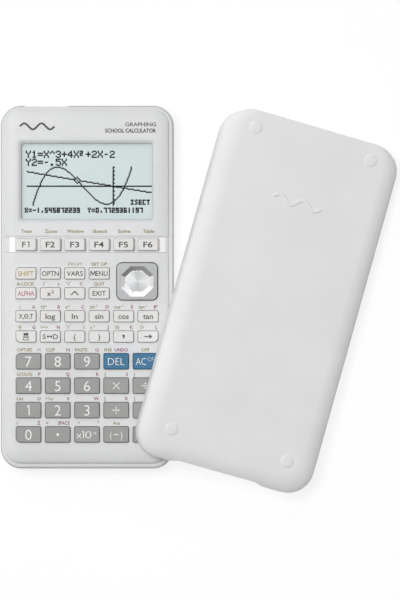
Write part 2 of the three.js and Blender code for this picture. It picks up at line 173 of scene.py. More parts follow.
def make_object(name, bm, materials=()):
    mesh = bpy.data.meshes.new(name)
    bm.normal_update()
    bm.to_mesh(mesh)
    bm.free()
    for material in materials:
        mesh.materials.append(material)
    mesh.shade_smooth()
    mesh.set_sharp_from_angle(angle=math.radians(SMOOTH_ANGLE))
    obj = bpy.data.objects.new(name, mesh)
    bpy.context.scene.collection.objects.link(obj)
    return obj


def settle(obj):
    """Puts what the object's modifiers make into its mesh."""
    graph = bpy.context.evaluated_depsgraph_get()
    mesh = bpy.data.meshes.new_from_object(obj.evaluated_get(graph), depsgraph=graph)
    obj.modifiers.clear()
    obj.data = mesh


def combine(obj, bm, operation="DIFFERENCE"):
    """Cuts the bodies in bm out of obj, or joins them to it. They don't cross each other."""
    tool = make_object("tool", bm)
    modifier = obj.modifiers.new(operation, "BOOLEAN")
    modifier.operation = operation
    modifier.solver = "EXACT"
    modifier.object = tool
    settle(obj)
    bpy.data.objects.remove(tool)


def finish_surface(obj, smooth_angle=SMOOTH_ANGLE):
    """Even shading on large flat faces beside small rounds."""
    obj.data.shade_smooth()
    obj.data.set_sharp_from_angle(angle=math.radians(smooth_angle))
    modifier = obj.modifiers.new("weighted", "WEIGHTED_NORMAL")
    modifier.keep_sharp = True
    settle(obj)


def place(obj, body, slot, *replaced):
    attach(obj, body)
    if replaced:
        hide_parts(*replaced)
    return obj


def plan_box(node, shrink=0.0):
    low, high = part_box(node)
    return low.x + shrink, high.x - shrink, low.y + shrink, high.y - shrink


def cap_box(node, grow=0.0):
    """The outline of a key's cap, which is its node's outline less the flange."""
    function_key = node.removeprefix("key_") in FUNCTION_KEYS
    return plan_box(node, (FUNCTION_KEY_FLANGE if function_key else KEY_FLANGE) - grow)


# ---------------------------------------------------------------- materials

def new_material(name):
    material = bpy.data.materials.new(name)
    material.use_nodes = True
    tree = material.node_tree
    return material, tree, tree.nodes["Principled BSDF"]


def connect(tree, node, inputs):
    """Sets the node's inputs to values, or links them from other nodes' outputs."""
    for socket, value in inputs.items():
        if isinstance(value, bpy.types.NodeSocket):
            tree.links.new(value, node.inputs[socket])
        else:
            node.inputs[socket].default_value = value


def add_node(tree, kind, inputs, **settings):
    node = tree.nodes.new(f"ShaderNode{kind}")
    for name, value in settings.items():
        setattr(node, name, value)
    connect(tree, node, inputs)
    return node.outputs


def coordinates(tree, scale=(1, 1, 1)):
    place_on_object = add_node(tree, "TexCoord", {})["Object"]
    return add_node(tree, "Mapping", {"Vector": place_on_object, "Scale": scale})["Vector"]


def noise(tree, vector, scale, detail=3.0):
    inputs = {"Vector": vector, "Scale": scale, "Detail": detail}
    return add_node(tree, "TexNoise", inputs)["Fac"]


def ramp(tree, factor, stops):
    """A colour ramp through (position, colour) stops. A colour may be one grey number."""
    node = tree.nodes.new("ShaderNodeValToRGB")
    elements = node.color_ramp.elements
    while len(elements) < len(stops):
        elements.new(0.5)
    for element, (position, colour) in zip(elements, stops):
        element.position = position
        element.color = (*(colour if isinstance(colour, tuple) else (colour,) * 3), 1)
    connect(tree, node, {"Fac": factor})
    return node.outputs["Color"]


def bump(tree, height, strength, distance):
    inputs = {"Height": height, "Strength": strength, "Distance": distance}
    return add_node(tree, "Bump", inputs)["Normal"]


def tinted(colour, change):
    return tuple(min(1.0, max(0.0, channel * (1 + change))) for channel in colour)


def around(tree, factor, colour, change):
    """A ramp from a little darker than the colour to a little lighter."""
    return ramp(tree, factor, [(0.3, tinted(colour, -change)), (0.7, tinted(colour, change))])


def plastic(name, colour, roughness, grain=0.12, mottle=0.02, specular=0.5):
    """Moulded plastic: a fine spark-eroded grain, and a slow drift of colour and gloss."""
    material, tree, shader = new_material(name)
    vector = coordinates(tree)
    spread = 0.06
    gloss = [(0.35, roughness - spread), (0.65, roughness + spread)]
    connect(tree, shader, {
        "Base Color": around(tree, noise(tree, vector, 1 / (22 * MM), 2), colour, mottle),
        "Roughness": ramp(tree, noise(tree, vector, 1 / (3 * MM), 4), gloss),
        "Specular IOR Level": specular,
        "Normal": bump(tree, noise(tree, vector, 1 / (0.35 * MM), 2), grain, 0.02 * MM),
    })
    return material


def metal(name, colour, roughness, streak_scale, metallic=1.0):
    """Plated or drawn metal, its fine streaks along the axis with the small scale."""
    material, tree, shader = new_material(name)
    streaks = noise(tree, coordinates(tree, streak_scale), 1.0, 4)
    colours = [(0.3, tinted(colour, -0.08)), (0.7, tinted(colour, 0.05))]
    connect(tree, shader, {
        "Base Color": ramp(tree, streaks, colours),
        "Roughness": ramp(tree, streaks, [(0.3, roughness * 0.8), (0.7, roughness * 1.25)]),
        "Metallic": metallic,
        "Normal": bump(tree, streaks, 0.08, 0.01 * MM),
    })
    return material


def spun_metal(name, centre, colour):
    """Lathe-turned metal: a painted reflection whose brightness swings round the middle, and fine
    rings.
    """
    material, tree, shader = new_material(name)
    position = add_node(tree, "TexCoord", {})["Object"]
    from_middle = add_node(tree, "VectorMath", {0: position, 1: centre},
                           operation="SUBTRACT")["Vector"]
    turn = add_node(tree, "TexGradient", {"Vector": from_middle}, gradient_type="RADIAL")["Fac"]
    dark, mid, light = (tinted(colour, change) for change in (-0.2, -0.05, 0.2))
    painted_reflection = [(0.0, light), (0.14, mid), (0.26, dark), (0.38, mid), (0.5, light),
             (0.62, mid), (0.76, dark), (0.88, light), (1.0, light)]
    wave_inputs = {"Vector": from_middle, "Scale": 1 / (0.9 * MM), "Distortion": 0.4}
    rings = add_node(tree, "TexWave", wave_inputs, wave_type="RINGS", rings_direction="Z")["Fac"]
    connect(tree, shader, {
        "Base Color": ramp(tree, turn, painted_reflection), "Metallic": 0.4, "Roughness": 0.4,
        "Normal": bump(tree, rings, 0.15, 0.01 * MM),
    })
    return material


def ink(name, colour, roughness=0.5):
    """Pad-printed ink, a little uneven in its density."""
    material, tree, shader = new_material(name)
    density = noise(tree, coordinates(tree), 1 / (0.5 * MM), 3)
    connect(tree, shader,
            {"Base Color": around(tree, density, colour, 0.06), "Roughness": roughness})
    return material


def screen_glass(name, colour, shade, pitch):
    """The reflective screen: a pale field with its grid of dots just visible."""
    material, tree, shader = new_material(name)
    in_dots = coordinates(tree, (1 / pitch, 1 / pitch, 1))
    axes = add_node(tree, "SeparateXYZ", {"Vector": in_dots})
    lines = [add_node(tree, "Math", {0: axes[axis], 1: 0.5}, operation="PINGPONG")["Value"]
             for axis in "XY"]
    least = add_node(tree, "Math", dict(enumerate(lines)), operation="MINIMUM")["Value"]
    drift = ramp(tree, noise(tree, coordinates(tree), 1 / (40 * MM), 1),
                 [(0.35, 0.0), (0.75, 0.45)])
    dots = ramp(tree, least, [(0.02, colour), (0.1, tinted(colour, -0.035))])
    mixed = add_node(tree, "Mix", {"Factor": drift, "A": dots, "B": (*shade, 1)},
                     data_type="RGBA")["Result"]
    connect(tree, shader, {"Base Color": mixed, "Roughness": 0.7, "Specular IOR Level": 0.15})
    return material


def clear_window(name):
    """Clear hard plastic, almost all of it see-through."""
    material, tree, shader = new_material(name)
    haze = noise(tree, coordinates(tree), 1 / (9 * MM), 3)
    connect(tree, shader, {
        "Base Color": (0.2, 0.22, 0.22, 1), "Alpha": 0.03,
        "Roughness": ramp(tree, haze, [(0.3, 0.05), (0.7, 0.1)]),
    })
    return material


CASE = plastic("case_plastic", (0.715, 0.72, 0.725), 0.48)
# Darker than the case plastic, with a coarser grain. The darker colour is painted shade for the
# side walls, and the back and the hatch share it.
PAINTED_SHADE_PLASTIC = plastic("coarse_case_plastic_painted_shade", (0.46, 0.465, 0.47), 0.6, grain=0.25)
COVER = plastic("cover_plastic", (0.84, 0.84, 0.84), 0.65, specular=0.2)
# Near white, as a painted highlight on the polished bar ends.
STRIP_PAINTED_HIGHLIGHT = plastic("strip_plastic_painted_highlight", (0.93, 0.93, 0.93), 0.25, grain=0.03)
WHITE_KEY = plastic("white_key_plastic", (0.74, 0.73, 0.715), 0.42, grain=0.06)
GREY_KEY = plastic("grey_key_plastic", (0.30, 0.30, 0.295), 0.42, grain=0.06)
BLUE_KEY = plastic("blue_key_plastic", (0.022, 0.15, 0.285), 0.45, grain=0.06, specular=0.4)
RUBBER = plastic("silicone", (0.42, 0.42, 0.43), 0.75)
DARK = plastic("socket_plastic", (0.02, 0.02, 0.022), 0.5)
BOARD = plastic("solder_resist", (0.025, 0.13, 0.05), 0.4, mottle=0.15)
PLATE = metal("plated_frame", (0.33, 0.335, 0.34), 0.27, (60 / MM, 3 / MM, 60 / MM), 0.3)
FACET = metal("polished_facet", (0.84, 0.84, 0.85), 0.2, (20 / MM, 20 / MM, 20 / MM), 0.9)
STEEL = metal("steel", (0.55, 0.55, 0.56), 0.3, (8 / MM, 8 / MM, 8 / MM))
BATTERY = metal("battery_can", (0.33, 0.36, 0.40), 0.35, (2 / MM, 40 / MM, 2 / MM))
DARK_INK = ink("dark_ink", (0.035, 0.036, 0.04))
WHITE_INK = ink("white_ink", (0.86, 0.86, 0.85))
SHIFT_INK = ink("shift_ink", (0.27, 0.22, 0.05))
ALPHA_INK = ink("alpha_ink", (0.25, 0.05, 0.15))
SHIFT_KEY_INK = ink("shift_key_ink", (0.42, 0.29, 0.06))
ALPHA_KEY_INK = ink("alpha_key_ink", (0.42, 0.08, 0.15))
PIXEL_INK = ink("lcd_dark", (0.006, 0.007, 0.009), 0.8)
# Grey for the line round the screen opening: painted shade where the recess meets the screen.
EDGE_SHADE_INK = ink("painted_edge_shade", (0.30, 0.31, 0.315), 0.7)


# ---------------------------------------------------------------- lettering

def letters(text, size, weight=0.0):
    """A mesh of closed letters, their baseline at y = 0 and their front face up."""
    curve = bpy.data.curves.new("letters", "FONT")
    curve.body = text
    curve.size = size
    curve.extrude = PRINT_THICKNESS
    curve.offset = weight
    curve.resolution_u = 3
    obj = bpy.data.objects.new("letters", curve)
    bpy.context.scene.collection.objects.link(obj)
    graph = bpy.context.evaluated_depsgraph_get()
    mesh = bpy.data.meshes.new_from_object(obj.evaluated_get(graph), depsgraph=graph)
    bpy.data.objects.remove(obj)
    return mesh


def add_mesh(bm, mesh, matrix, material=0):
    mesh.transform(matrix)
    before = len(bm.faces)
    bm.from_mesh(mesh)
    bm.faces.ensure_lookup_table()
    for face in bm.faces[before:]:
        face.material_index = material


def print_text(bm, text, spot, height, material=0, align=0.5, weight=0.0, width=None):
    """Prints text with capitals of that height, at spot = (x, y, z).

    The share align of its width lies left of x, and y is the capitals' middle. What follows
    a ^ is small and raised. With width, the text is stretched or drawn in to fill it.
    """
    x, y, z = spot
    size, gap = height / CAP_HEIGHT, height * 0.12
    base, _, raised = text.partition("^")
    pen, parts = 0.0, []
    for piece, piece_size, lift in ((base, size, 0.0), (raised, size * 0.6, height * 0.5)):
        mesh = letters(piece, piece_size, weight)
        xs = [vertex.co.x for vertex in mesh.vertices]
        if xs:
            parts.append((mesh, pen - min(xs), lift))
            pen += max(xs) - min(xs) + gap
    pen -= gap
    stretch = width / pen if width else 1.0
    for mesh, offset, lift in parts:
        left = x + (offset - align * pen) * stretch
        matrix = Matrix.Translation((left, y - height / 2 + lift, z))
        add_mesh(bm, mesh, matrix @ Matrix.Diagonal((stretch, 1, 1, 1)), material)


def print_bar(bm, x0, x1, y0, y1, z, material=0):
    slab(bm, x0, x1, y0, y1, z - PRINT_THICKNESS, z + PRINT_THICKNESS, 0.02 * MM, material)


def line_outline(points, width):
    """The outline of a flat line of constant width through the points."""
    left, right = [], []
    for index, (x, y) in enumerate(points):
        ahead = points[min(index + 1, len(points) - 1)]
        behind = points[max(index - 1, 0)]
        along = Vector((ahead[0] - behind[0], ahead[1] - behind[1])).normalized()
        left.append((x - along.y * width / 2, y + along.x * width / 2))
        right.append((x + along.y * width / 2, y - along.x * width / 2))
    return right + left[::-1]


def wave(x0, x1, y, rise, steps):
    """Two waves of a sine from x0 to x1, round the height y."""
    return [(x0 + share * (x1 - x0), y + rise * math.sin(share * 4 * math.pi))
            for share in shares(steps)]


def stroke(bm, points, width, z, material=0):
    """A printed line through the points, as one closed body."""
    outline = line_outline(points, width)
    levels = (z - PRINT_THICKNESS, z + PRINT_THICKNESS)
    loft(bm, [[(x, y, level) for x, y in outline] for level in levels], material)


def draw_lines(bm, lines, spot, size, width, material=0):
    """Straight strokes between points given as shares of size round the spot."""
    x, y, z = spot
    for line in lines:
        points = [(x + px * size, y + py * size) for px, py in line]
        for start, end in zip(points, points[1:]):
            stroke(bm, [start, end], width, z, material)


def rectangle(x0, x1, y0, y1):
    return [(x0, y1), (x1, y1), (x1, y0), (x0, y0), (x0, y1)]


# Signs that are drawn, as lines through points round the middle. The size is half a height.
SIGNS = {
    "plus": [[(-1, 0), (1, 0)], [(0, -1), (0, 1)]],
    "minus": [[(-1, 0), (1, 0)]],
    "times": [[(-1, -1), (1, 1)], [(-1, 1), (1, -1)]],
    "power": [[(-1, -0.5), (0.05, 0.55)], [(-0.05, 0.55), (1, -0.5)]],
    "arrow": [[(-1, 0), (0.8, 0)], [(0.35, 0.5), (1, 0), (0.35, -0.5)]],
    "two_way": [[(-1, 0), (1, 0)], [(-0.5, 0.5), (-1, 0), (-0.5, -0.5)],
                [(0.5, 0.5), (1, 0), (0.5, -0.5)]],
    "one": [[(-0.3, 0.62), (0.12, 1)], [(0.12, 1), (0.12, -1)]],
    "lower_box": [rectangle(-1, 1, -1.45, -0.45)],
    "letter_m": [[(-0.92, -1), (-0.8, 1)], [(-0.8, 1), (0, -0.6)], [(0, -0.6), (0.8, 1)],
                 [(0.8, 1), (0.92, -1)]],
    "root": [[(-1.2, 0.1), (-0.8, 0.25), (-0.35, -1), (0.1, 1), (1.2, 1)]],
    "raised_root": [[(-0.7, 0.1), (-0.45, 0.2), (-0.1, -1), (0.3, 1), (1.3, 1)],
                    [(-1.4, 1), (-0.8, 0.4)], [(-1.4, 0.4), (-0.8, 1)]],
    "angle": [[(0.7, 0.9), (-0.8, -0.8), (1, -0.8)]],
    "pi": [[(-0.9, 0.5), (0.9, 0.5)], [(-0.4, 0.5), (-0.45, -0.9)], [(0.4, 0.5), (0.5, -0.9)]],
    "theta": [[(-0.1, 1), (-0.6, 0.5), (-0.6, -0.5), (-0.1, -1), (0.2, -1), (0.6, -0.5),
               (0.6, 0.5), (0.2, 1), (-0.1, 1)], [(-0.6, 0), (0.6, 0)]],
    "boxes": [[(-1.6, 0.5), (-0.8, 0.5)], [(-1.6, 0.2), (-0.8, 0.2)],
              rectangle(-0.3, 0.6, 0.15, 1), [(-0.5, -0.1), (0.8, -0.1)],
              rectangle(-0.3, 0.6, -1.1, -0.35)],
    "swap": [[(-1.6, 0.9), (-1.6, -0.9)], [(-2.2, 0), (-1.0, 0)], [(-0.6, 0), (0.7, 0)],
             [(-0.2, 0.4), (-0.6, 0), (-0.2, -0.4)], [(0.3, 0.4), (0.7, 0), (0.3, -0.4)],
             [(1.6, 0.9), (1.6, -0.9)], [(1.1, 0), (2.1, 0)]],
    "sheets": [rectangle(-1.3, -0.3, -0.7, 0.7), rectangle(0, 1, -1, 0.4)],
    "recall": [rectangle(-1, 0.6, -0.8, 0.8), [(-0.5, 0), (1.2, 0)]],
}

# ---------------------------------------------------------------- keys

# Name: what is printed on the key, and what above it at the left and at the right.
LEGENDS = {
    "f1": ("F", "Trace", ""), "f2": ("F2", "Zoom", ""), "f3": ("F3", "Window", ""),
    "f4": ("F4", "Sketch", ""), "f5": ("F5", "Solve", ""), "f6": ("F6", "Table", ""),
    "shift": ("SHIFT", "", ""), "optn": ("OPTN", "", ""),
    "vars": ("VARS", "PRGM", ""), "menu": ("ENU", "SET UP", ""),
    "alpha": ("ALPHA", "A-LOCK", ""), "square": ("x^2", "<root>", "r"),
    "power": ("", "<raised_root>", "<theta>"), "exit": ("EXIT", "QUIT", ""),
    "variable": ("X,O,T", "<angle>", "A"), "log": ("log", "10^x", "B"),
    "ln": ("ln", "e^x", "C"), "sin": ("sin", "sin^-1", "D"), "cos": ("cos", "cos^-1", "E"),
    "tan": ("tan", "tan^-1", "F"), "fraction": ("", "<boxes>", "G"),
    "convert": ("S   D", "<swap>", "H"), "open_bracket": ("(", "<raised_root>", "I"),
    "close_bracket": (")", "x^-1", "J"), "comma": ("", "<sheets>", "K"),
    "store": ("", "<recall>", "L"), "7": ("7", "CAPTURE", "M"), "8": ("8", "CLIP", "N"),
    "9": ("9", "PASTE", "O"), "del": ("DEL", "INS", "UNDO"), "ac": ("AC^/ON", "OFF", ""),
    "4": ("4", "CATALOG", "P"), "5": ("5", "", "Q"), "6": ("6", "", "R"),
    "multiply": ("", "{", "S"), "divide": ("", "}", "T"), "1": ("", "List", "U"),
    "2": ("2", "Mat", "V"), "3": ("3", "", "W"), "plus": ("", "[", "X"),
    "minus": ("", "]", "Y"), "0": ("0", "i", "Z"), "point": ("", "=", "SPACE"),
    "exponent": ("0^x", "<pi>", '"'), "negative": ("(   )", "Ans", ""), "exe": ("EXE", "", ""),
}
# Drawn on a key, in millimetres from its middle: signs with their size and line width, bars
# by their sides, and dots with their radius and number of corners.
KEY_SIGNS = {
    "plus": [("plus", 0, 0, 1.85, 0.42)], "minus": [("minus", 0, 0, 1.85, 0.42)],
    "multiply": [("times", 0, 0, 1.5725, 0.42)], "divide": [("minus", 0, 0, 1.85, 0.42)],
    "negative": [("minus", 0, 0, 1.1, 0.42)], "power": [("power", 0, 0, 1.75, 0.5)],
    "store": [("arrow", 0, 0, 1.75, 0.5)], "convert": [("two_way", -0.35, 0, 1.15, 0.42)],
    "fraction": [("lower_box", 0, 0, 1.15, 0.34)], "menu": [("letter_m", -2.95, 0, 1.2, 0.42)],
    "1": [("one", 0, 0, 2.45, 0.52)], "f1": [("one", 1.35, 0, 1.375, 0.46)],
    "exponent": [("times", -3.85, -0.75, 1, 0.42), ("one", -1.85, 0, 1.8, 0.42)],
}
KEY_BARS = {
    "variable": [(-0.75, 0.55, -0.17, 0.17)],
    "fraction": [(-1.15, 1.15, 0.5, 1.7), (-1.5, 1.5, -0.05, 0.2)],
}
KEY_DOTS = {
    "divide": [(0, -1.05, 0.36, 16), (0, 1.05, 0.36, 16)], "point": [(0, 0, 0.68, 20)],
    "comma": [(0, 0.35, 0.6, 16)],
}
COMMA_TAIL = ((0.35, 0.3), (0.3, -0.35), (-0.25, -1))
LEGEND_SHIFT = {"f1": -0.95, "menu": 1.25, "exponent": 1.9}    # beside a sign that is drawn
CENTRED_ABOVE = FUNCTION_KEYS + ("vars", "menu", "exit", "ac", "negative")
LEGEND_WIDTH = {             # in millimetres, on the keys and above them
    "SHIFT": 7.5, "OPTN": 8.2, "VARS": 7.8, "ENU": 5.6, "ALPHA": 7.9, "EXIT": 6.4,
    "X,O,T": 7.0, "log": 4.7, "ln": 2.9, "sin": 4.1, "cos": 5.0, "tan": 4.8, "S   D": 7.4,
    "F": 1.7, "F2": 4.4, "F3": 4.4, "F4": 4.6, "F5": 4.4, "F6": 4.4, "DEL": 7.9,
    "AC^/ON": 9.2, "EXE": 7.6, "0^x": 5.6, "(   )": 5.9,
    "Trace": 5.1, "Zoom": 6.0, "Window": 8.2, "Sketch": 7.0, "Solve": 6.0, "Table": 5.4,
    "CAPTURE": 7.4, "CLIP": 4.3, "PASTE": 5.9, "INS": 3.5, "UNDO": 6.5, "CATALOG": 7.4,
    "SPACE": 5.6, "A-LOCK": 8.6, "PRGM": 6.4, "SET UP": 7.6, "QUIT": 5.2, "OFF": 4.0,
    "List": 3.2, "Mat": 3.7, "Ans": 3.4,
}
OUTER_CORNER = {"shift": 3, "fraction": 0, "store": 1, "7": 3, "ac": 2, "0": 0, "exe": 1}
BLUE_KEYS = ("del", "ac")
LARGE_KEY_WIDTH = 11 * MM    # caps wider than this are the large grey and blue ones


def legend_width(text):
    return LEGEND_WIDTH[text] * MM if text in LEGEND_WIDTH else None


def key_corners(name, grow=0.0):
    radii = [KEY_CORNER + grow] * 4
    if name in OUTER_CORNER:
        radii[OUTER_CORNER[name]] = KEY_OUTER_CORNER + grow
    return tuple(radii)


def shrunk(radii, amount):
    return tuple(max(radius - amount, 0.15 * MM) for radius in radii)


def key_cap(bm, name, node):
    """A flanged cap with drafted sides and a rounded top edge. Returns its top's middle."""
    low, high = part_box(node)
    box, radii = cap_box(node), key_corners(name)
    edge, draft = 0.32 * MM, KEY_DRAFT
    if name in FUNCTION_KEYS:
        draft = FUNCTION_KEY_DRAFT
    flange, flange_corner, chamfer = plan_box(node), 0.4 * MM, 0.1 * MM
    loft(bm, stack(flange, (
        (chamfer, flange_corner, low.z), (0.0, flange_corner, low.z + chamfer),
        (0.0, flange_corner, KEY_FLANGE_TOP),
    )) + stack(box, (
        (0.0, radii, KEY_FLANGE_TOP), (0.0, radii, KEY_FLANGE_TOP + UPRIGHT_SIDE),
    )) + stack(box, (
        (widened(draft, edge * inward), shrunk(radii, edge * inward), high.z - edge * down)
        for inward, down in quarter_round(30)
    )))
    x0, x1, y0, y1 = box
    left, right, bottom, top = draft
    return (x0 + x1 + left - right) / 2, (y0 + y1 + bottom - top) / 2, high.z


def mark_key(bm, name, spot):
    """The signs that are drawn and not lettered, in the key's second material."""
    x, y, z = spot
    for sign, right, up, size, width in KEY_SIGNS.get(name, ()):
        middle = (x + right * MM, y + up * MM, z)
        draw_lines(bm, SIGNS[sign], middle, size * MM, width * MM, 1)
    for right, up, radius, sides in KEY_DOTS.get(name, ()):
        disc(bm, x + right * MM, y + up * MM, radius * MM, z - PRINT_THICKNESS,
             z + PRINT_THICKNESS, sides, 1)
    if name == "comma":
        stroke(bm, [(x + right * MM, y + up * MM) for right, up in COMMA_TAIL], 0.45 * MM, z, 1)
    for x0, x1, y0, y1 in KEY_BARS.get(name, ()):
        print_bar(bm, x + x0 * MM, x + x1 * MM, y + y0 * MM, y + y1 * MM, z, 1)


def make_key(node):
    name = node.removeprefix("key_")
    text = LEGENDS[name][0]
    bm = bmesh.new()
    x, y, z = key_cap(bm, name, node)
    x0, x1, _, _ = cap_box(node)
    if name in BLUE_KEYS:
        body, legend, slot, height, weight = BLUE_KEY, WHITE_INK, "blue_key", 3.6 * MM, -0.07 * MM
    elif x1 - x0 > LARGE_KEY_WIDTH:
        body, legend, slot, height, weight = GREY_KEY, WHITE_INK, "grey_key", 3.6 * MM, -0.05 * MM
        if name.isdigit():
            height = 5.25 * MM
    else:
        body, slot, height, weight = WHITE_KEY, "white_key", 2.4 * MM, 0.035 * MM
        legend = {"shift": SHIFT_KEY_INK, "alpha": ALPHA_KEY_INK}.get(name, DARK_INK)
        if name in FUNCTION_KEYS:
            height, weight = mm(2.75, 0.06)
        elif not text.isupper():
            height, weight = mm(2.6, 0.05)
    shift = LEGEND_SHIFT.get(name, 0.0) * MM
    print_text(bm, text, (x + shift, y, z), height, 1, weight=weight, width=legend_width(text))
    mark_key(bm, name, (x, y, z))
    obj = make_object(f"cap_{name}", bm, (body, legend))
    finish_surface(obj)
    place(obj, node, slot, node)


def print_upper(bm, text, spot, align):
    height = 1.6 * MM
    if text.startswith("<"):
        x, y, z = spot
        shift = (0.5 - align) * 2 * height
        draw_lines(bm, SIGNS[text.strip("<>")], (x + shift, y, z), height / 2, 0.2 * MM)
    else:
        weight = 0.0 if "M" in text else 0.055 * MM    # heavier, an M would close up
        print_text(bm, text, spot, height, align=align, weight=weight, width=legend_width(text))


def make_upper_legends():
    """The second and third functions, printed on the face above the keys."""
    shift_bm, alpha_bm = bmesh.new(), bmesh.new()
    side = 0.3 * MM
    for name, (_, left, right) in LEGENDS.items():
        x0, x1, _, top = cap_box(f"key_{name}")
        y = top + (3.5 if name in FUNCTION_KEYS else 1.75) * MM
        if name in CENTRED_ABOVE:
            print_upper(shift_bm, left, ((x0 + x1) / 2, y, FACE_Z), 0.5)
        elif left:
            print_upper(shift_bm, left, (x0 + side, y, FACE_Z), 0)
        if right:
            print_upper(alpha_bm, right, (x1 - side, y, FACE_Z), 1)
    for name, bm, material in (("shift", shift_bm, SHIFT_INK), ("alpha", alpha_bm, ALPHA_INK)):
        follow_face(bm)
        place(make_object(f"legends_{name}", bm, (material,)), "root", "case")


# ---------------------------------------------------------------- case

SCREEN = {"y": 50.9 * MM, "width": 63.2 * MM, "height": 36.6 * MM}
STRIP_HALF = 4.3 * MM        # of the function keys' channel, along y
STRIP_ENDS = (mm(-37.25, -34.75), mm(34.95, 37.8))     # the bars' sides
PORT_RECESS = {"x0": -30.4 * MM, "x1": -9.2 * MM, "depth": 0.45 * MM}
# In the order left, right, bottom, top: where the raised face starts, and how wide its
# edges round over.
FACE_INSET = mm(2.0, 2.5, 2.7, 1.9)
ROLL_OFF = mm(5.5, 8.0, 8.0, 7.2)
ROLL_DROP = 1.7 * MM
CASE_OUTLINE = plan_box("front_case")


def face_drop(x, y):
    """How far the rounded edge of the face lies below its middle."""
    x0, x1, y0, y1 = CASE_OUTLINE
    drop = 0.0
    for gap, inset, roll in zip((x - x0, x1 - x, y - y0, y1 - y), FACE_INSET, ROLL_OFF):
        share = min(1.0, max(0.0, 1 - (gap - inset) / roll))
        drop = max(drop, ROLL_DROP * (1 - math.sqrt(1 - share * share)))
    return drop


def follow_face(bm):
    """Lowers what is drawn on a level face onto its rounded edges."""
    for vertex in bm.verts:
        vertex.co.z -= face_drop(vertex.co.x, vertex.co.y)


def front_shell():
    """From the face's underside, over the rim and the ledge, to the top of the face."""
    rim_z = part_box("front_case")[0].z
    radius, ledge_under = CASE_CORNER, LEDGE_Z - WALL
    inner, upper, chamfer = WALL, WALL + 2 * MM, 0.15 * MM
    levels = [
        (upper, radius - upper, FACE_Z - FACE_THICKNESS), (upper, radius - upper, ledge_under),
        (inner, radius - inner, ledge_under), (inner, radius - inner, rim_z),
        (chamfer, radius, rim_z), (0.0, radius, rim_z + chamfer),
    ]
    draft, fillet = mm(0.45, 1.0)
    for inward, down in quarter_round(15):
        inset = draft + fillet * inward
        levels.append((inset, radius - inset, LEDGE_Z - fillet * down))
    groove, corner = 0.22 * MM, radius - 2.2 * MM
    for extra, z in ((-2 * groove, LEDGE_Z), (-groove, LEDGE_Z - groove),
                     (0.0, LEDGE_Z - groove), (0.0, FACE_Z - ROLL_DROP)):
        levels.append((widened(FACE_INSET, extra), corner - extra, z))
    for inward, down in quarter_round(8, 10):
        insets = tuple(inset + roll * inward for inset, roll in zip(FACE_INSET, ROLL_OFF))
        levels.append((insets, corner - 3 * MM * inward, FACE_Z - ROLL_DROP * down))
    bm = bmesh.new()
    for face in loft(bm, stack(CASE_OUTLINE, levels, CASE_STEPS)):
        # Faces below the ledge's round take the darker plastic: painted shade on the side walls.
        if face.calc_center_median().z < LEDGE_Z - 0.45 * fillet:
            face.material_index = 1
    return make_object("front_shell", bm, (CASE, PAINTED_SHADE_PLASTIC))


def key_holes():
    """One cutter through the face for each key, and one for the pad."""
    bm = bmesh.new()
    z0, z1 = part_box("front_case")[0].z, FACE_Z + BEYOND
    for node in NODES:
        if node.startswith("key_"):
            name = node.removeprefix("key_")
            clearance = FUNCTION_KEY_CLEARANCE if name in FUNCTION_KEYS else KEY_CLEARANCE
            x0, x1, y0, y1 = cap_box(node, clearance)
            radii = key_corners(name, clearance)
            slab(bm, x0, x1, y0, y1, z0, z1, radii, steps=CORNER_STEPS)
    x0, x1, y0, y1 = plan_box("cursor_pad", -PAD_CLEARANCE)
    slab(bm, x0, x1, y0, y1, z0, z1, PAD_CORNER + PAD_CLEARANCE, steps=PAD_STEPS)
    return bm


def screen_cutter():
    """The opening's sloping sides, the screen's own edge and the seat for the window."""
    half_w, half_h = SCREEN["width"] / 2, SCREEN["height"] / 2
    box = (-half_w, half_w, SCREEN["y"] - half_h, SCREEN["y"] + half_h)
    seat_zs = (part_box("front_case")[0].z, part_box("display_window")[1].z + 0.1 * MM)
    seat = stack(plan_box("lcd_module", -0.3 * MM), [(0.0, 1 * MM, z) for z in seat_zs])
    # How far out of the screen's edge, and how far down from the face.
    slope = ((0.0, 1.36), (0.0, 1.32), (0.45, 0.85), (0.95, 0.4), (1.3, 0.17), (1.8, 0.05),
             (2.6, 0.0))
    levels = [(-out * MM, (1 + out * 0.6) * MM, FACE_Z - down * MM) for out, down in slope]
    levels.append((levels[-1][0], 2.6 * MM, FACE_Z + BEYOND))
    return solid(seat + stack(box, levels))


def strip_middle():
    _, _, y0, y1 = plan_box("key_f1")
    return (y0 + y1) / 2


def strip_cutter():
    """The channel of the function keys, right across the face, with a fine line along each edge."""
    middle = strip_middle()
    depth, line, width = mm(0.4, 0.5, 0.5)
    # Level up to the first of these, and from there closely enough for the face's round edge.
    half_xs = (34.7, 36, 37, 38, 38.7, 39.2, 39.8, 42)
    xs = [-x * MM for x in reversed(half_xs)] + [x * MM for x in half_xs]
    top = [(xs[-1], FACE_Z + BEYOND), (xs[0], FACE_Z + BEYOND)]
    floor_half = STRIP_HALF - 1.4 * width
    sections = []
    for y, extra in ((STRIP_HALF, line), (STRIP_HALF - width, line), (floor_half, 0),
                     (-floor_half, 0), (width - STRIP_HALF, line), (-STRIP_HALF, line)):
        profile = [(x, FACE_Z - depth - extra - face_drop(x, middle)) for x in xs] + top
        sections.append([(x, middle + y, z) for x, z in profile])
    return solid(sections)


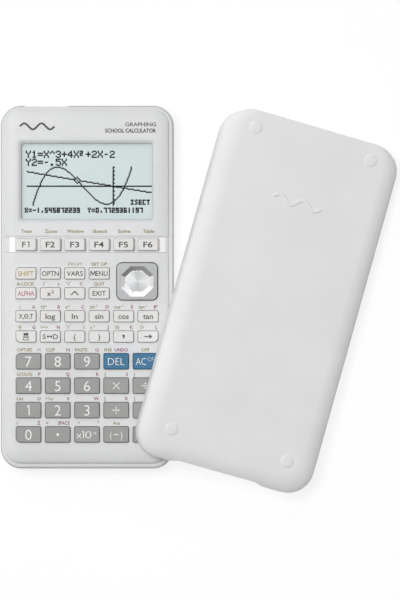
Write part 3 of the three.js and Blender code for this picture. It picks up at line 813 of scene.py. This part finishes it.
def make_strip_ends():
    """The polished bars that close the channel beyond the outer function keys; their near-white
    colour is a painted highlight.
    """
    middle, half = strip_middle(), 3.65 * MM
    bevel, corner, top_corner = mm(0.12, 0.3, 0.2)
    foot, shoulder, top = (FACE_Z - depth for depth in mm(0.45, 0.25, 0.13))
    levels = ((0.0, corner, foot), (0.0, corner, shoulder), (bevel, top_corner, top))
    bm = bmesh.new()
    for x0, x1 in STRIP_ENDS:
        loft(bm, stack((x0, x1, middle - half, middle + half), levels))
    follow_face(bm)
    obj = make_object("strip_ends", bm, (STRIP_PAINTED_HIGHLIGHT,))
    finish_surface(obj)
    place(obj, "root", "case")


def port_recess_cutter():
    """The shallow recess round the sockets, through the whole height of the end wall."""
    end = CASE_OUTLINE[3]
    return block(PORT_RECESS["x0"], PORT_RECESS["x1"], end - PORT_RECESS["depth"], end + BEYOND,
                 -BEYOND, FACE_Z + BEYOND, 0.3 * MM)


def make_front_case():
    obj = front_shell()
    for cutter in (strip_cutter(), key_holes(), screen_cutter(), port_recess_cutter()):
        combine(obj, cutter)
    finish_surface(obj)
    place(obj, "root", "case", "front_case")


def rear_shell():
    """From the inside of the floor, over the rim and down to the rounded back."""
    low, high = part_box("rear_case")
    radius, inner, floor = CASE_CORNER, 3 * MM, 2 * MM
    chamfer, fillet = mm(0.2, 3)
    levels = [
        (inner, radius - inner, low.z + floor), (inner, radius - inner, high.z),
        (chamfer, radius, high.z), (0.0, radius, high.z - chamfer),
    ]
    for inward, down in quarter_round(15):
        inset = fillet * inward
        levels.append((inset, radius - inset * 0.7, low.z + fillet * down))
    rings = stack(plan_box("rear_case"), levels[::-1], CASE_STEPS)
    # The back is in the darker plastic of painted shade, like the side walls.
    return make_object("rear_shell", solid(rings), (PAINTED_SHADE_PLASTIC,))


# The battery bay: its opening, the walls round it, and the raised floor over the hatch's
# slot, all from x0, x1, y0 and y1. Walls and raised floor start inside the case's floor.
BAY = mm(-23, 23, 26.35, 74.85)
BAY_WALLS = mm(-24.4, 24.4, 25, 76.3)
RAISED_FLOOR = mm(-33, 33, 19, 85.2)
INSIDE_FLOOR = 1 * MM


def make_rear_case():
    obj = rear_shell()
    raised_top, walls_top, bay_top, bay_corner = mm(2.9, 8.7, 12, 0.8)
    combine(obj, block(*RAISED_FLOOR, INSIDE_FLOOR, raised_top), "UNION")
    combine(obj, block(*BAY_WALLS, INSIDE_FLOOR, walls_top), "UNION")
    cutters = (block(*BAY, -BEYOND, bay_top, bay_corner), *hatch_cutters(), groove_cutters(),
               recess_cutters(), port_recess_cutter(), data_port_cutter(), link_port_cutter())
    for cutter in cutters:
        combine(obj, cutter)
    finish_surface(obj)
    place(obj, "root", "case", "rear_case")


HATCH_TONGUE = 1.2 * MM      # how far the hatch reaches sideways into its groove


def hatch_cutters():
    """The slot of the battery hatch: a narrow mouth below a wider groove."""
    x0, x1, y0, _ = plan_box("battery_cover", -0.3 * MM)
    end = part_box("rear_case")[1].y + BEYOND
    groove_z, overlap, top = mm(0.65, 0.1, 1.7)
    return (block(x0 + HATCH_TONGUE, x1 - HATCH_TONGUE, y0, end, -BEYOND, groove_z + overlap),
            block(x0, x1, y0, end, groove_z, top))


def groove_cutters():
    """The grooves along both sides that the hard cover's lips run in."""
    bm = bmesh.new()
    low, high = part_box("rear_case")
    depth, end, z0, z1 = mm(1, 78, 8.7, 10.2)
    for side in (-1, 1):
        xs = sorted((side * (high.x + BEYOND), side * (high.x - depth)))
        slab(bm, *xs, low.y - BEYOND, end, z0, z1)
    return bm


SCREWS = [(side * 34.5 * MM, y * MM) for y in (-76, -4, 72) for side in (-1, 1)]


def recess_cutters():
    """The holes that the case screws stand in."""
    bm = bmesh.new()
    for x, y in SCREWS:
        disc(bm, x, y, 2.6 * MM, -BEYOND, 1.1 * MM)
    return bm


DATA_PORT = {"x": -14.5 * MM, "width": 7.6 * MM, "height": 3.8 * MM}
LINK_PORT = {"x": -25 * MM, "radius": 2.6 * MM, "z": 6.8 * MM}
PORT_DEPTH = 10 * MM         # from the end wall's outside, through the wall
BOARD_THICKNESS = 1.2 * MM


def data_port_top():
    """The height of the board's underside, which the data socket hangs from."""
    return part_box("circuit_board")[1].z - BOARD_THICKNESS


def data_port_cutter():
    end, top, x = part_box("rear_case")[1].y, data_port_top(), DATA_PORT["x"]
    half, under = DATA_PORT["width"] / 2 + 0.5 * MM, DATA_PORT["height"] + 0.5 * MM
    return block(x - half, x + half, end - PORT_DEPTH, end + BEYOND, top - under, top, 0.1 * MM)


def upright_circle(x, y, z, radius):
    """A circle facing along Y."""
    sides = 32
    angles = [2 * math.pi * i / sides for i in range(sides)]
    return [(x + radius * math.sin(a), y, z + radius * math.cos(a)) for a in angles]


def link_port_cutter():
    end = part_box("rear_case")[1].y
    x, z, radius = LINK_PORT["x"], LINK_PORT["z"], LINK_PORT["radius"]
    return solid([upright_circle(x, y, z, radius) for y in (end - PORT_DEPTH, end + BEYOND)])


def make_hatch():
    """A lid with a tongue along each side and five grooves for the thumb."""
    low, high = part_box("battery_cover")
    box = plan_box("battery_cover")
    bevel, tongue_z = 0.25 * MM, low.z + 0.75 * MM
    sides = (HATCH_TONGUE, HATCH_TONGUE, 0.0, 0.0)
    rings = stack(box, (
        (widened(sides, bevel), 0.8 * MM, low.z), (sides, 1.0 * MM, low.z + bevel),
        (sides, 1.0 * MM, tongue_z), (0.0, 0.4 * MM, tongue_z), (0.0, 0.4 * MM, high.z),
    ))
    # The hatch is in the darker plastic of painted shade, like the side walls.
    obj = make_object("battery_hatch", solid(rings), (PAINTED_SHADE_PLASTIC,))
    grooves, pitch, width, depth = bmesh.new(), 1.5 * MM, 0.7 * MM, 0.35 * MM
    for step in range(5):
        half, y = (8 - step) * MM, box[2] + 9 * MM + step * pitch
        slab(grooves, -half, half, y, y + width, -BEYOND, low.z + depth, 0.3 * MM)
    combine(obj, grooves)
    finish_surface(obj)
    place(obj, "battery_cover", "case", "battery_cover")


def make_screws():
    """Round heads with a cross-shaped slot, below the back's surface."""
    # From the head's flat face up to its shank: the radius, and the height in the hole.
    profile = ((1.5, 0.35), (1.95, 0.45), (2.2, 0.65), (2.2, 1.0), (1.2, 1.05))
    arm, half, slot_top = mm(1.15, 0.22, 0.8)
    for index, (x, y) in enumerate(SCREWS):
        head = solid([polygon(x, y, r * MM, r * MM, z * MM, 32) for r, z in profile])
        obj = make_object(f"case_screw_{index + 1}", head, (STEEL,))
        for along, across in ((arm, half), (half, arm)):
            combine(obj, block(x - along, x + along, y - across, y + across, -BEYOND, slot_top,
                               0.03 * MM))
        place(obj, "root", "silver")


# ---------------------------------------------------------------- cursor pad

PAD_MIDDLE = sum(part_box("cursor_pad"), Vector()) / 2
# The disc's brightness swinging round its middle is a painted reflection.
SPUN = spun_metal("spun_metal", (PAD_MIDDLE.x, PAD_MIDDLE.y, 0), (0.43, 0.435, 0.44))


def make_pad():
    """A square plate with a faceted octagonal dish and a spun disc in its middle."""
    low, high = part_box("cursor_pad")
    edge = 0.25 * MM
    levels = [(edge, PAD_CORNER, low.z), (0.0, PAD_CORNER, low.z + edge)]
    for inward, down in quarter_round(30):
        levels.append((edge * inward, PAD_CORNER - edge * inward, high.z - edge * down))
    plate = solid(stack(plan_box("cursor_pad"), levels, PAD_STEPS))
    obj = make_object("cursor_cap", plate, (PLATE, FACET, SPUN))
    turn = math.pi / 8
    across = MM / math.cos(turn)
    floor, rim, groove = high.z - 1.1 * MM, high.z - 0.06 * MM, 0.15 * MM
    # Half the dish's width and depth in the plan, from its disc out past its rim.
    profile = ((5.55, 4.9, floor), (5.55, 4.9, floor - groove), (5.72, 5.07, floor - groove),
               (7.8, 7.3, rim), (7.95, 7.45, high.z + 0.5 * MM))
    x, y, _ = PAD_MIDDLE
    tiny = 0.01 * MM
    dish = [polygon(x, y, rx * across, ry * across, z, 8, turn) for rx, ry, z in profile]
    combine(obj, solid(dish))
    for face in obj.data.polygons:
        px, py, pz = face.center
        if abs(px - x) < 7.9 * MM and abs(py - y) < 7.4 * MM and pz < high.z - tiny:
            face.material_index = 2 if abs(pz - floor) < tiny else 1
    finish_surface(obj, 20)
    place(obj, "cursor_pad", "silver", "cursor_pad")


# ---------------------------------------------------------------- screen

COLUMNS, ROWS = 128, 64
DOT = 0.4815 * MM
SCREEN_MIDDLE = mm(0.3, 50.8)

# Each row of a large character, top to bottom, with # where a dot is dark.
LARGE_DOTS = {
    "Y": "#...# #...# .#.#. ..#.. ..#.. ..#.. ..#..",
    "1": "..#.. .##.. ..#.. ..#.. ..#.. ..#.. .###.",
    "2": ".###. #...# ....# ..##. .#... #.... #####",
    "3": ".###. #...# ....# ..##. ....# #...# .###.",
    "4": "...#. ..##. .#.#. #..#. ##### ...#. ...#.",
    "5": "##### #.... ####. ....# ....# #...# .###.",
    "X": "#...# #...# .#.#. ..#.. .#.#. #...# #...#",
    "=": "..... ..... ##### ..... ##### ..... .....",
    "+": "..... ..#.. ..#.. ##### ..#.. ..#.. .....",
    "-": "..... ..... ..... .###. ..... ..... .....",
    "^": "..#.. .#.#. #...# ..... ..... ..... .....",
    ".": "..... ..... ..... ..... ..... .##.. .##..",
    "s": "###.. ..#.. ###.. #.... ###.. ..... .....",
}
# Small characters are three dots wide. Each figure is one row: 4, 2 and 1 for its dots.
SMALL_DOTS = {
    "0": "75557", "1": "22222", "2": "71747", "3": "71717", "4": "55711", "5": "74717",
    "6": "74757", "7": "71111", "8": "75757", "9": "75717", "X": "55255", "Y": "55222",
    "=": "07070", "-": "00700", ".": "00022", "I": "72227", "S": "34216", "E": "74747",
    "C": "74447", "T": "72222",
}


def dots_of_text():
    """Dark (column, row) dots of the two equations and the readout."""
    dots = set()
    for text, top in (("Y1=X^3+4Xs+2X-2", 1), ("Y2=-.5X", 9)):
        for index, character in enumerate(text):
            for row, pattern in enumerate(LARGE_DOTS[character].split()):
                for column, mark in enumerate(pattern):
                    if mark == "#":
                        dots.add((2 + 6 * index + column, top + row))
    readouts = (("X=-1.545872239", 1, 58), ("Y=0.7729361197", 64, 58), ("ISECT", 107, 50))
    for text, left, top in readouts:
        for index, character in enumerate(text):
            for row, figure in enumerate(SMALL_DOTS[character]):
                for column in range(3):
                    if int(figure) >> (2 - column) & 1:
                        dots.add((left + 4 * index + column, top + row))
    return dots


def cubic(x):
    return x ** 3 + 4 * x ** 2 + 2 * x - 2


def straight(x):
    return -0.5 * x


def dots_of_graph():
    """Axes with ticks, the two curves joined dot to dot, and the cursor where they cross."""
    origin_column, axis_row = 89, 36
    columns_per_unit, rows_per_unit = 23.4, 7.9
    first_row, last_row = 17, 55
    dots = {(column, axis_row) for column in range(3, COLUMNS)}
    dots |= {(origin_column, row) for row in range(first_row, last_row + 1)}
    dots |= {(origin_column + 1, row) for row in range(first_row, last_row + 1, 4)}
    for curve in (cubic, straight):
        previous = None
        for column in range(3, COLUMNS):
            value = curve((column - origin_column) / columns_per_unit)
            row = round(axis_row - rows_per_unit * value)
            if previous is not None:
                step = 1 if row >= previous else -1
                joined = range(previous + step, row, step) if abs(row - previous) > 1 else ()
                dots |= {(column, r) for r in joined if first_row <= r <= last_row}
            if first_row <= row <= last_row:
                dots.add((column, row))
            previous = row
    return dots, cursor_dots(53, 30)


def cursor_dots(column, row):
    ring_offsets = [(-3, 0), (-2, -1), (-2, 1), (-1, -2), (-1, 2), (0, -3), (0, 3),
                    (1, -2), (1, 2), (2, -1), (2, 1), (3, 0), (0, 0)]
    inside = {(column + a, row + b) for a in range(-2, 3) for b in range(-2, 3)
              if abs(a) + abs(b) < 3}
    return inside, {(column + a, row + b) for a, b in ring_offsets}


def make_screen():
    """The panel, its dark dots, and a grey line of painted shade along the opening's four sides."""
    low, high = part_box("lcd_module")
    edge, corner, dot_rise = mm(0.2, 0.8, 0.02)
    bm = bmesh.new()
    loft(bm, stack(plan_box("lcd_module"), (
        (edge, corner, low.z), (0.0, corner, low.z + edge), (0.0, corner, high.z - edge),
        (edge, corner, high.z),
    )))
    graph, (cleared, marker) = dots_of_graph()
    dark = (dots_of_text() | graph) - cleared | marker
    left = SCREEN_MIDDLE[0] - COLUMNS / 2 * DOT
    top = SCREEN_MIDDLE[1] + ROWS / 2 * DOT
    spread = 0.11 * MM       # neighbouring dots run into each other
    for column, row in sorted(dark):
        x0, y1 = left + column * DOT, top - row * DOT
        slab(bm, x0 - spread, x0 + DOT + spread, y1 - DOT - spread, y1 + spread,
             high.z - dot_rise, high.z + dot_rise, 0.03 * MM, 1, 1)
    # A grey line along the opening's edge: painted shade where the recess meets the screen.
    half_w, half_h, y = SCREEN["width"] / 2, SCREEN["height"] / 2, SCREEN["y"]
    inner, outer = mm(0.12, 0.3)
    for side in (-1, 1):
        ends = sorted((side * (half_w - inner), side * (half_w + outer)))
        print_bar(bm, *ends, y - half_h, y + half_h, high.z, 2)
        ends = sorted((y + side * (half_h - inner), y + side * (half_h + outer)))
        print_bar(bm, inner - half_w, half_w - inner, *ends, high.z, 2)
    obj = make_object("lcd_panel", bm, (LCD, PIXEL_INK, EDGE_SHADE_INK))
    place(obj, "root", "lcd", "lcd_module")


def make_window():
    low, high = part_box("display_window")
    edge, corner, top_corner = mm(0.15, 1.5, 1.3)
    rings = stack(plan_box("display_window"), (
        (edge, top_corner, low.z), (0.0, corner, low.z + edge), (0.0, corner, high.z - edge),
        (edge, top_corner, high.z),
    ))
    obj = make_object("screen_window", solid(rings), (WINDOW,))
    finish_surface(obj)
    place(obj, "root", "window", "display_window")


LCD = screen_glass("lcd_glass", (0.775, 0.875, 0.865), (0.705, 0.83, 0.85), DOT)
WINDOW = clear_window("window_plastic")

# ---------------------------------------------------------------- badge

def make_badge():
    """A plain wave line, and the words for what the object is."""
    bm = bmesh.new()
    stroke(bm, wave(-32.3 * MM, -15.7 * MM, 77.4 * MM, 1.45 * MM, 40), 0.95 * MM, FACE_Z)
    for words, y, weight, width in (("GRAPHING", 78.4, 0.04, 14.8),
                                    ("SCHOOL CALCULATOR", 75.4, 0.09, 24.5)):
        print_text(bm, words, (33.2 * MM, y * MM, FACE_Z), 1.9 * MM, align=1,
                   weight=weight * MM, width=width * MM)
    follow_face(bm)
    place(make_object("badge_print", bm, (DARK_INK,)), "root", "case")


# ---------------------------------------------------------------- hard cover

COVER_TOP = 12 * MM
COVER_WALL = 2.3 * MM
COVER_CEILING = 9.8 * MM
COVER_SHOULDER = 6.4 * MM    # where the walls begin to roll over into the top


def cover_frame():
    """The cover's own frame, with its rim at z = 0 and its face up, and half its width and length.

    The frame is a matrix from there to the object's frame.
    """
    turn = COVER_TILT.to_matrix()
    back = turn.transposed()
    local = [back @ vertex.co for vertex in NODES["slide_cover"].data.vertices]
    low, high = (Vector([pick(p[i] for p in local) for i in range(3)]) for pick in (min, max))
    middle = (low + high) / 2
    half_w, half_l, _ = (high - low) / 2
    foot = turn @ Vector((middle.x, middle.y, low.z))
    return Matrix.Translation(foot) @ turn.to_4x4(), half_w, half_l


def make_cover():
    """The hard cover: a hollow shell with lips, a sweeping mouth, four feet and an emblem."""
    matrix, half_w, half_l = cover_frame()
    trim, chamfer, corner = mm(0.05, 0.3, 13)
    box = (trim - half_w, half_w - trim, trim - half_l, half_l - trim)
    roll = mm(10, 9, 9, 0.5)        # left, right, bottom, top
    levels = [(chamfer, corner, 0.0), (0.0, corner, chamfer),
              (0.0, corner, COVER_SHOULDER - 1 * MM)]
    for inward, down in quarter_round(9):
        inset = tuple(side * inward for side in roll)
        z = COVER_TOP - (COVER_TOP - COVER_SHOULDER) * down
        levels.append((inset, corner - inset[0] * 0.45, z))
    obj = make_object("hard_cover", solid(stack(box, levels, CASE_STEPS)), (COVER,))
    for cutter in (cover_hollow(half_w, half_l), cover_mouth(half_w, half_l), cover_notch(half_l)):
        combine(obj, cutter)
    for addition in (cover_lips(half_w), cover_feet(), cover_emblem()):
        combine(obj, addition, "UNION")
    finish_surface(obj, 28)
    obj.data.transform(matrix)
    place(obj, "slide_cover", "cover", "slide_cover")


def cover_hollow(half_w, half_l):
    """The inside, its roof rolled over along with the outside."""
    box = (COVER_WALL - half_w, half_w - COVER_WALL, COVER_WALL - half_l, half_l + BEYOND)
    radii = mm(10.7, 10.7, 1, 1)
    roll, drop = mm(7, 7, 6, 0.0), 3.4 * MM
    levels = [(0.0, radii, -BEYOND)]
    for inward, down in quarter_round(10):
        levels.append((tuple(side * inward for side in roll), radii, COVER_CEILING - drop * down))
    return solid(stack(box, levels, CASE_STEPS))


def cover_mouth(half_w, half_l):
    """The long walls run out before the open end, in an S-shaped sweep up to the shoulder."""
    start, sweep, top = half_l - 17 * MM, 11 * MM, COVER_SHOULDER - 0.1 * MM
    end, reach = half_l + BEYOND, half_w + BEYOND
    profile = [(start, -BEYOND)]
    profile += [(start + sweep * share, top * share * share * (3 - 2 * share))
                for share in shares(16)]
    profile += [(end, top), (end, -BEYOND)]
    return solid([[(x, y, z) for y, z in profile] for x in (reach, -reach)])


def cover_notch(half_l):
    """The shallow step in the closed end's outline, eased in and out by S-shaped ends."""
    left, right, depth, ease, edge = -26 * MM, 24 * MM, 1.2 * MM, 6 * MM, -half_l
    curve = [(ease * share, depth * (1 - math.cos(math.pi * share)) / 2) for share in shares(8)]
    points = [(left, edge - BEYOND), (right, edge - BEYOND)]
    points += [(right - along, edge + rise) for along, rise in curve]
    points += [(left + along, edge + rise) for along, rise in reversed(curve)]
    return solid([[(x, y, z) for x, y in points] for z in (-BEYOND, COVER_TOP + 2 * BEYOND)])


def cover_lips(half_w):
    """The lips that run in the calculator's side grooves."""
    bm = bmesh.new()
    reach, y0, y1, foot, top = mm(0.8, -74, 70, 0.02, 1.2)
    for side in (-1, 1):
        xs = sorted((side * (half_w - COVER_WALL / 2), side * (half_w - COVER_WALL - reach)))
        slab(bm, *xs, y0, y1, foot, top, 0.3 * MM)
    return bm


def cover_feet():
    """Four round feet, each a low dome."""
    # The radius, and the height over the cover's top.
    profile = ((3.2, -1.0), (3.15, 0.06), (3.0, 0.2), (2.75, 0.32), (2.3, 0.41), (1.5, 0.46),
               (0.6, 0.48))
    bm = bmesh.new()
    for x in mm(-29.2, 29.2):
        for y in mm(78.4, -72):
            loft(bm, [polygon(x, y, radius * MM, radius * MM, COVER_TOP + height * MM, 40)
                      for radius, height in profile])
    return bm


def cover_emblem():
    """A raised wave with sloping sides, as plain as a mould mark."""
    half = 12 * MM
    line = wave(-half, half, 49 * MM, 1.9 * MM, 48)
    foot, crest = line_outline(line, 2.1 * MM), line_outline(line, 1.0 * MM)
    return solid([[(x, y, COVER_TOP + height * MM) for x, y in outline]
              for outline, height in ((foot, -0.5), (foot, -0.02), (crest, 0.4))])


# ---------------------------------------------------------------- inside and small parts

def dress_inner_nodes():
    """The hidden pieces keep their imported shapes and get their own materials."""
    finishes = {"circuit_board": BOARD, "keypad_mat": RUBBER, "cursor_base": RUBBER}
    finishes.update({f"battery_{number}": BATTERY for number in (1, 2, 3, 4)})
    for node, material in finishes.items():
        mesh = NODES[node].data
        mesh.materials.clear()
        mesh.materials.append(material)


def make_data_socket():
    """The metal shell and the tongue of the flat socket behind the end wall."""
    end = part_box("circuit_board")[1].y + 0.1 * MM
    gap, wall, depth, tongue_half = mm(0.1, 0.35, 2.2, 0.3)
    x, half = DATA_PORT["x"], DATA_PORT["width"] / 2
    z0, z1 = data_port_top() - DATA_PORT["height"] + gap, data_port_top() - gap
    shell = make_object(
        "data_socket",
        block(x - half + gap, x + half - gap, end, end + depth, z0, z1, 0.1 * MM),
        (STEEL, DARK),
    )
    combine(shell, block(x - half + wall, x + half - wall, end + 0.3 * MM, end + 2 * depth,
                         z0 + wall, z1 - wall, 0.1 * MM))
    middle = (z0 + z1) / 2
    combine(shell, block(x - half * 0.6, x + half * 0.6, end + 0.2 * MM, end + 1.9 * MM,
                         middle - tongue_half, middle + tongue_half, 0.1 * MM), "UNION")
    place(shell, "root", "silver")


def make_link_socket():
    """The barrel of the round socket."""
    x, z = LINK_PORT["x"], LINK_PORT["z"]
    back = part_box("rear_case")[1].y - 3.3 * MM
    # From the barrel's back to its mouth and into its hole: the radius, and the way along y.
    profile = ((2.35, 0.0), (2.35, 2.3), (2.2, 2.45), (1.4, 2.45), (1.25, 2.3), (1.25, 0.4))
    rings = [upright_circle(x, back + along * MM, z, radius * MM) for radius, along in profile]
    place(make_object("link_socket", solid(rings), (STEEL,)), "root", "silver")


def tube(bm, points, radius):
    """A round wire through the points."""
    sides, rings = 8, []
    for index, point in enumerate(points):
        ahead = Vector(points[min(index + 1, len(points) - 1)])
        along = (ahead - Vector(points[max(index - 1, 0)])).normalized()
        across = along.cross(Vector((0, 1, 0))).normalized()
        other = along.cross(across)
        rings.append([
            Vector(point) + radius * (math.cos(a) * across + math.sin(a) * other)
            for a in (2 * math.pi * i / sides for i in range(sides))
        ])
    loft(bm, rings)


def make_contacts():
    """A conical spring at each cell's flat end and a dimpled plate at its nub."""
    half, thick = mm(4.2, 0.35)
    dimple_half, dimple = 1.6 * MM, mm(0.3, 0.8)
    ends = ((BAY[2], 1), (BAY[3], -1))       # each end wall, and the way from it into the bay
    for number in (1, 2, 3, 4):
        low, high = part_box(f"battery_{number}")
        x, z = (low.x + high.x) / 2, (low.z + high.z) / 2
        nub_end, flat_end = ends[::-1] if number % 2 else ends
        bm = bmesh.new()
        for (wall, side), size, (y0, y1) in ((nub_end, half, (0.0, thick)),
                                             (nub_end, dimple_half, dimple),
                                             (flat_end, half, (0.0, thick))):
            ys = sorted((wall + side * y0, wall + side * y1))
            slab(bm, x - size, x + size, *ys, z - size, z + size, 0.2 * MM)
        wall, side = flat_end
        coil, turns = [], 2.5
        for share in shares(60):
            angle, radius = 2 * math.pi * turns * share, (3.4 - 1.6 * share) * MM
            y = wall + side * (0.6 + 0.95 * share) * MM
            coil.append((x + radius * math.cos(angle), y, z + radius * math.sin(angle)))
        tube(bm, coil, 0.28 * MM)
        place(make_object(f"battery_contact_{number}", bm, (STEEL,)), "root", "silver")


# ---------------------------------------------------------------- stage

VIEW_HEIGHT = 288.9 * MM     # what the upright picture takes in from top to bottom
VIEW_MIDDLE = mm(54.4, -6.2)
LIGHT_TARGET = Vector(mm(50, 0, 10))


def make_floor():
    """A pale sheet, lit a little from below so that shadows on it stay soft."""
    bm = bmesh.new()
    half = 3.0
    corners = [(-half, -half), (half, -half), (half, half), (-half, half)]
    bm.faces.new([bm.verts.new((x, y, 0)) for x, y in corners])
    material, tree, shader = new_material("paper")
    tone = noise(tree, coordinates(tree), 4.0)
    connect(tree, shader, {
        "Base Color": ramp(tree, tone, [(0.3, 0.23), (0.7, 0.25)]),
        "Roughness": 0.9, "Specular IOR Level": 0.0,
        "Emission Color": (1, 1, 1, 1), "Emission Strength": 0.78,
    })
    make_object("floor", bm, (material,))


def add_softbox(name, width, height, power, azimuth, zenith, distance, target=LIGHT_TARGET):
    """A rectangular lamp facing the object from so many degrees off the vertical."""
    light = bpy.data.lights.new(name, "AREA")
    light.shape = "RECTANGLE"
    light.size, light.size_y = width, height
    light.energy = power
    turn, tilt = math.radians(azimuth), math.radians(zenith)
    offset = Vector((math.sin(tilt) * math.cos(turn), math.sin(tilt) * math.sin(turn),
                     math.cos(tilt)))
    obj = bpy.data.objects.new(name, light)
    obj.location = target + offset * distance
    obj.visible_camera = False
    obj.rotation_euler = (-offset).to_track_quat("-Z", "Y").to_euler()
    bpy.context.scene.collection.objects.link(obj)


def make_lights():
    """Soft light from above and the upper left, in a room that is darker towards its floor."""
    world = bpy.data.worlds.new("studio")
    world.use_nodes = True
    tree = world.node_tree
    direction = add_node(tree, "TexCoord", {})["Generated"]
    brightest = (-0.3, 0.25, 0.92)
    across = add_node(tree, "VectorMath", {0: direction, 1: brightest},
                      operation="DOT_PRODUCT")["Value"]
    height = add_node(tree, "MapRange", {"Value": across, "From Min": -1.0})["Result"]
    shades = ramp(tree, height, [(0.5, 0.09), (0.72, 0.24), (0.95, 0.5)])
    connect(tree, tree.nodes["Background"], {"Color": shades})
    bpy.context.scene.world = world
    far, case_edge = 1.5, Vector(mm(-40, 0, 12))
    # Width and height in metres, watts, the way round and off the vertical, and how far away.
    add_softbox("key", 0.5, 0.5, 11.4, 146, 17, far)
    add_softbox("back_strip", 2.6, 0.35, 2.9, 90, 50, far)
    add_softbox("left_edge", 0.24, 0.03, 0.03, 180, 74, 0.12, case_edge)
    add_softbox("left_strip", 0.3, 0.9, 0.5, 180, 52, far)
    add_softbox("right_strip", 0.3, 0.9, 0.5, 0, 52, far)


def make_camera():
    camera = bpy.data.cameras.new("camera")
    camera.lens = 300
    camera.sensor_width = 36
    obj = bpy.data.objects.new("camera", camera)
    distance = VIEW_HEIGHT * camera.lens / camera.sensor_width
    obj.location = (*VIEW_MIDDLE, FACE_Z + distance)
    camera.clip_end = 4 * distance
    bpy.context.scene.collection.objects.link(obj)
    bpy.context.scene.camera = obj


# ---------------------------------------------------------------- build

bpy.context.scene.view_settings.view_transform = "Standard"
make_camera()
make_lights()
make_floor()
make_front_case()
make_strip_ends()
make_rear_case()
make_hatch()
make_screws()
make_screen()
make_window()
make_badge()
make_pad()
for key_node in [node for node in NODES if node.startswith("key_")]:
    make_key(key_node)
make_upper_legends()
make_data_socket()
make_link_socket()
make_contacts()
dress_inner_nodes()
make_cover()
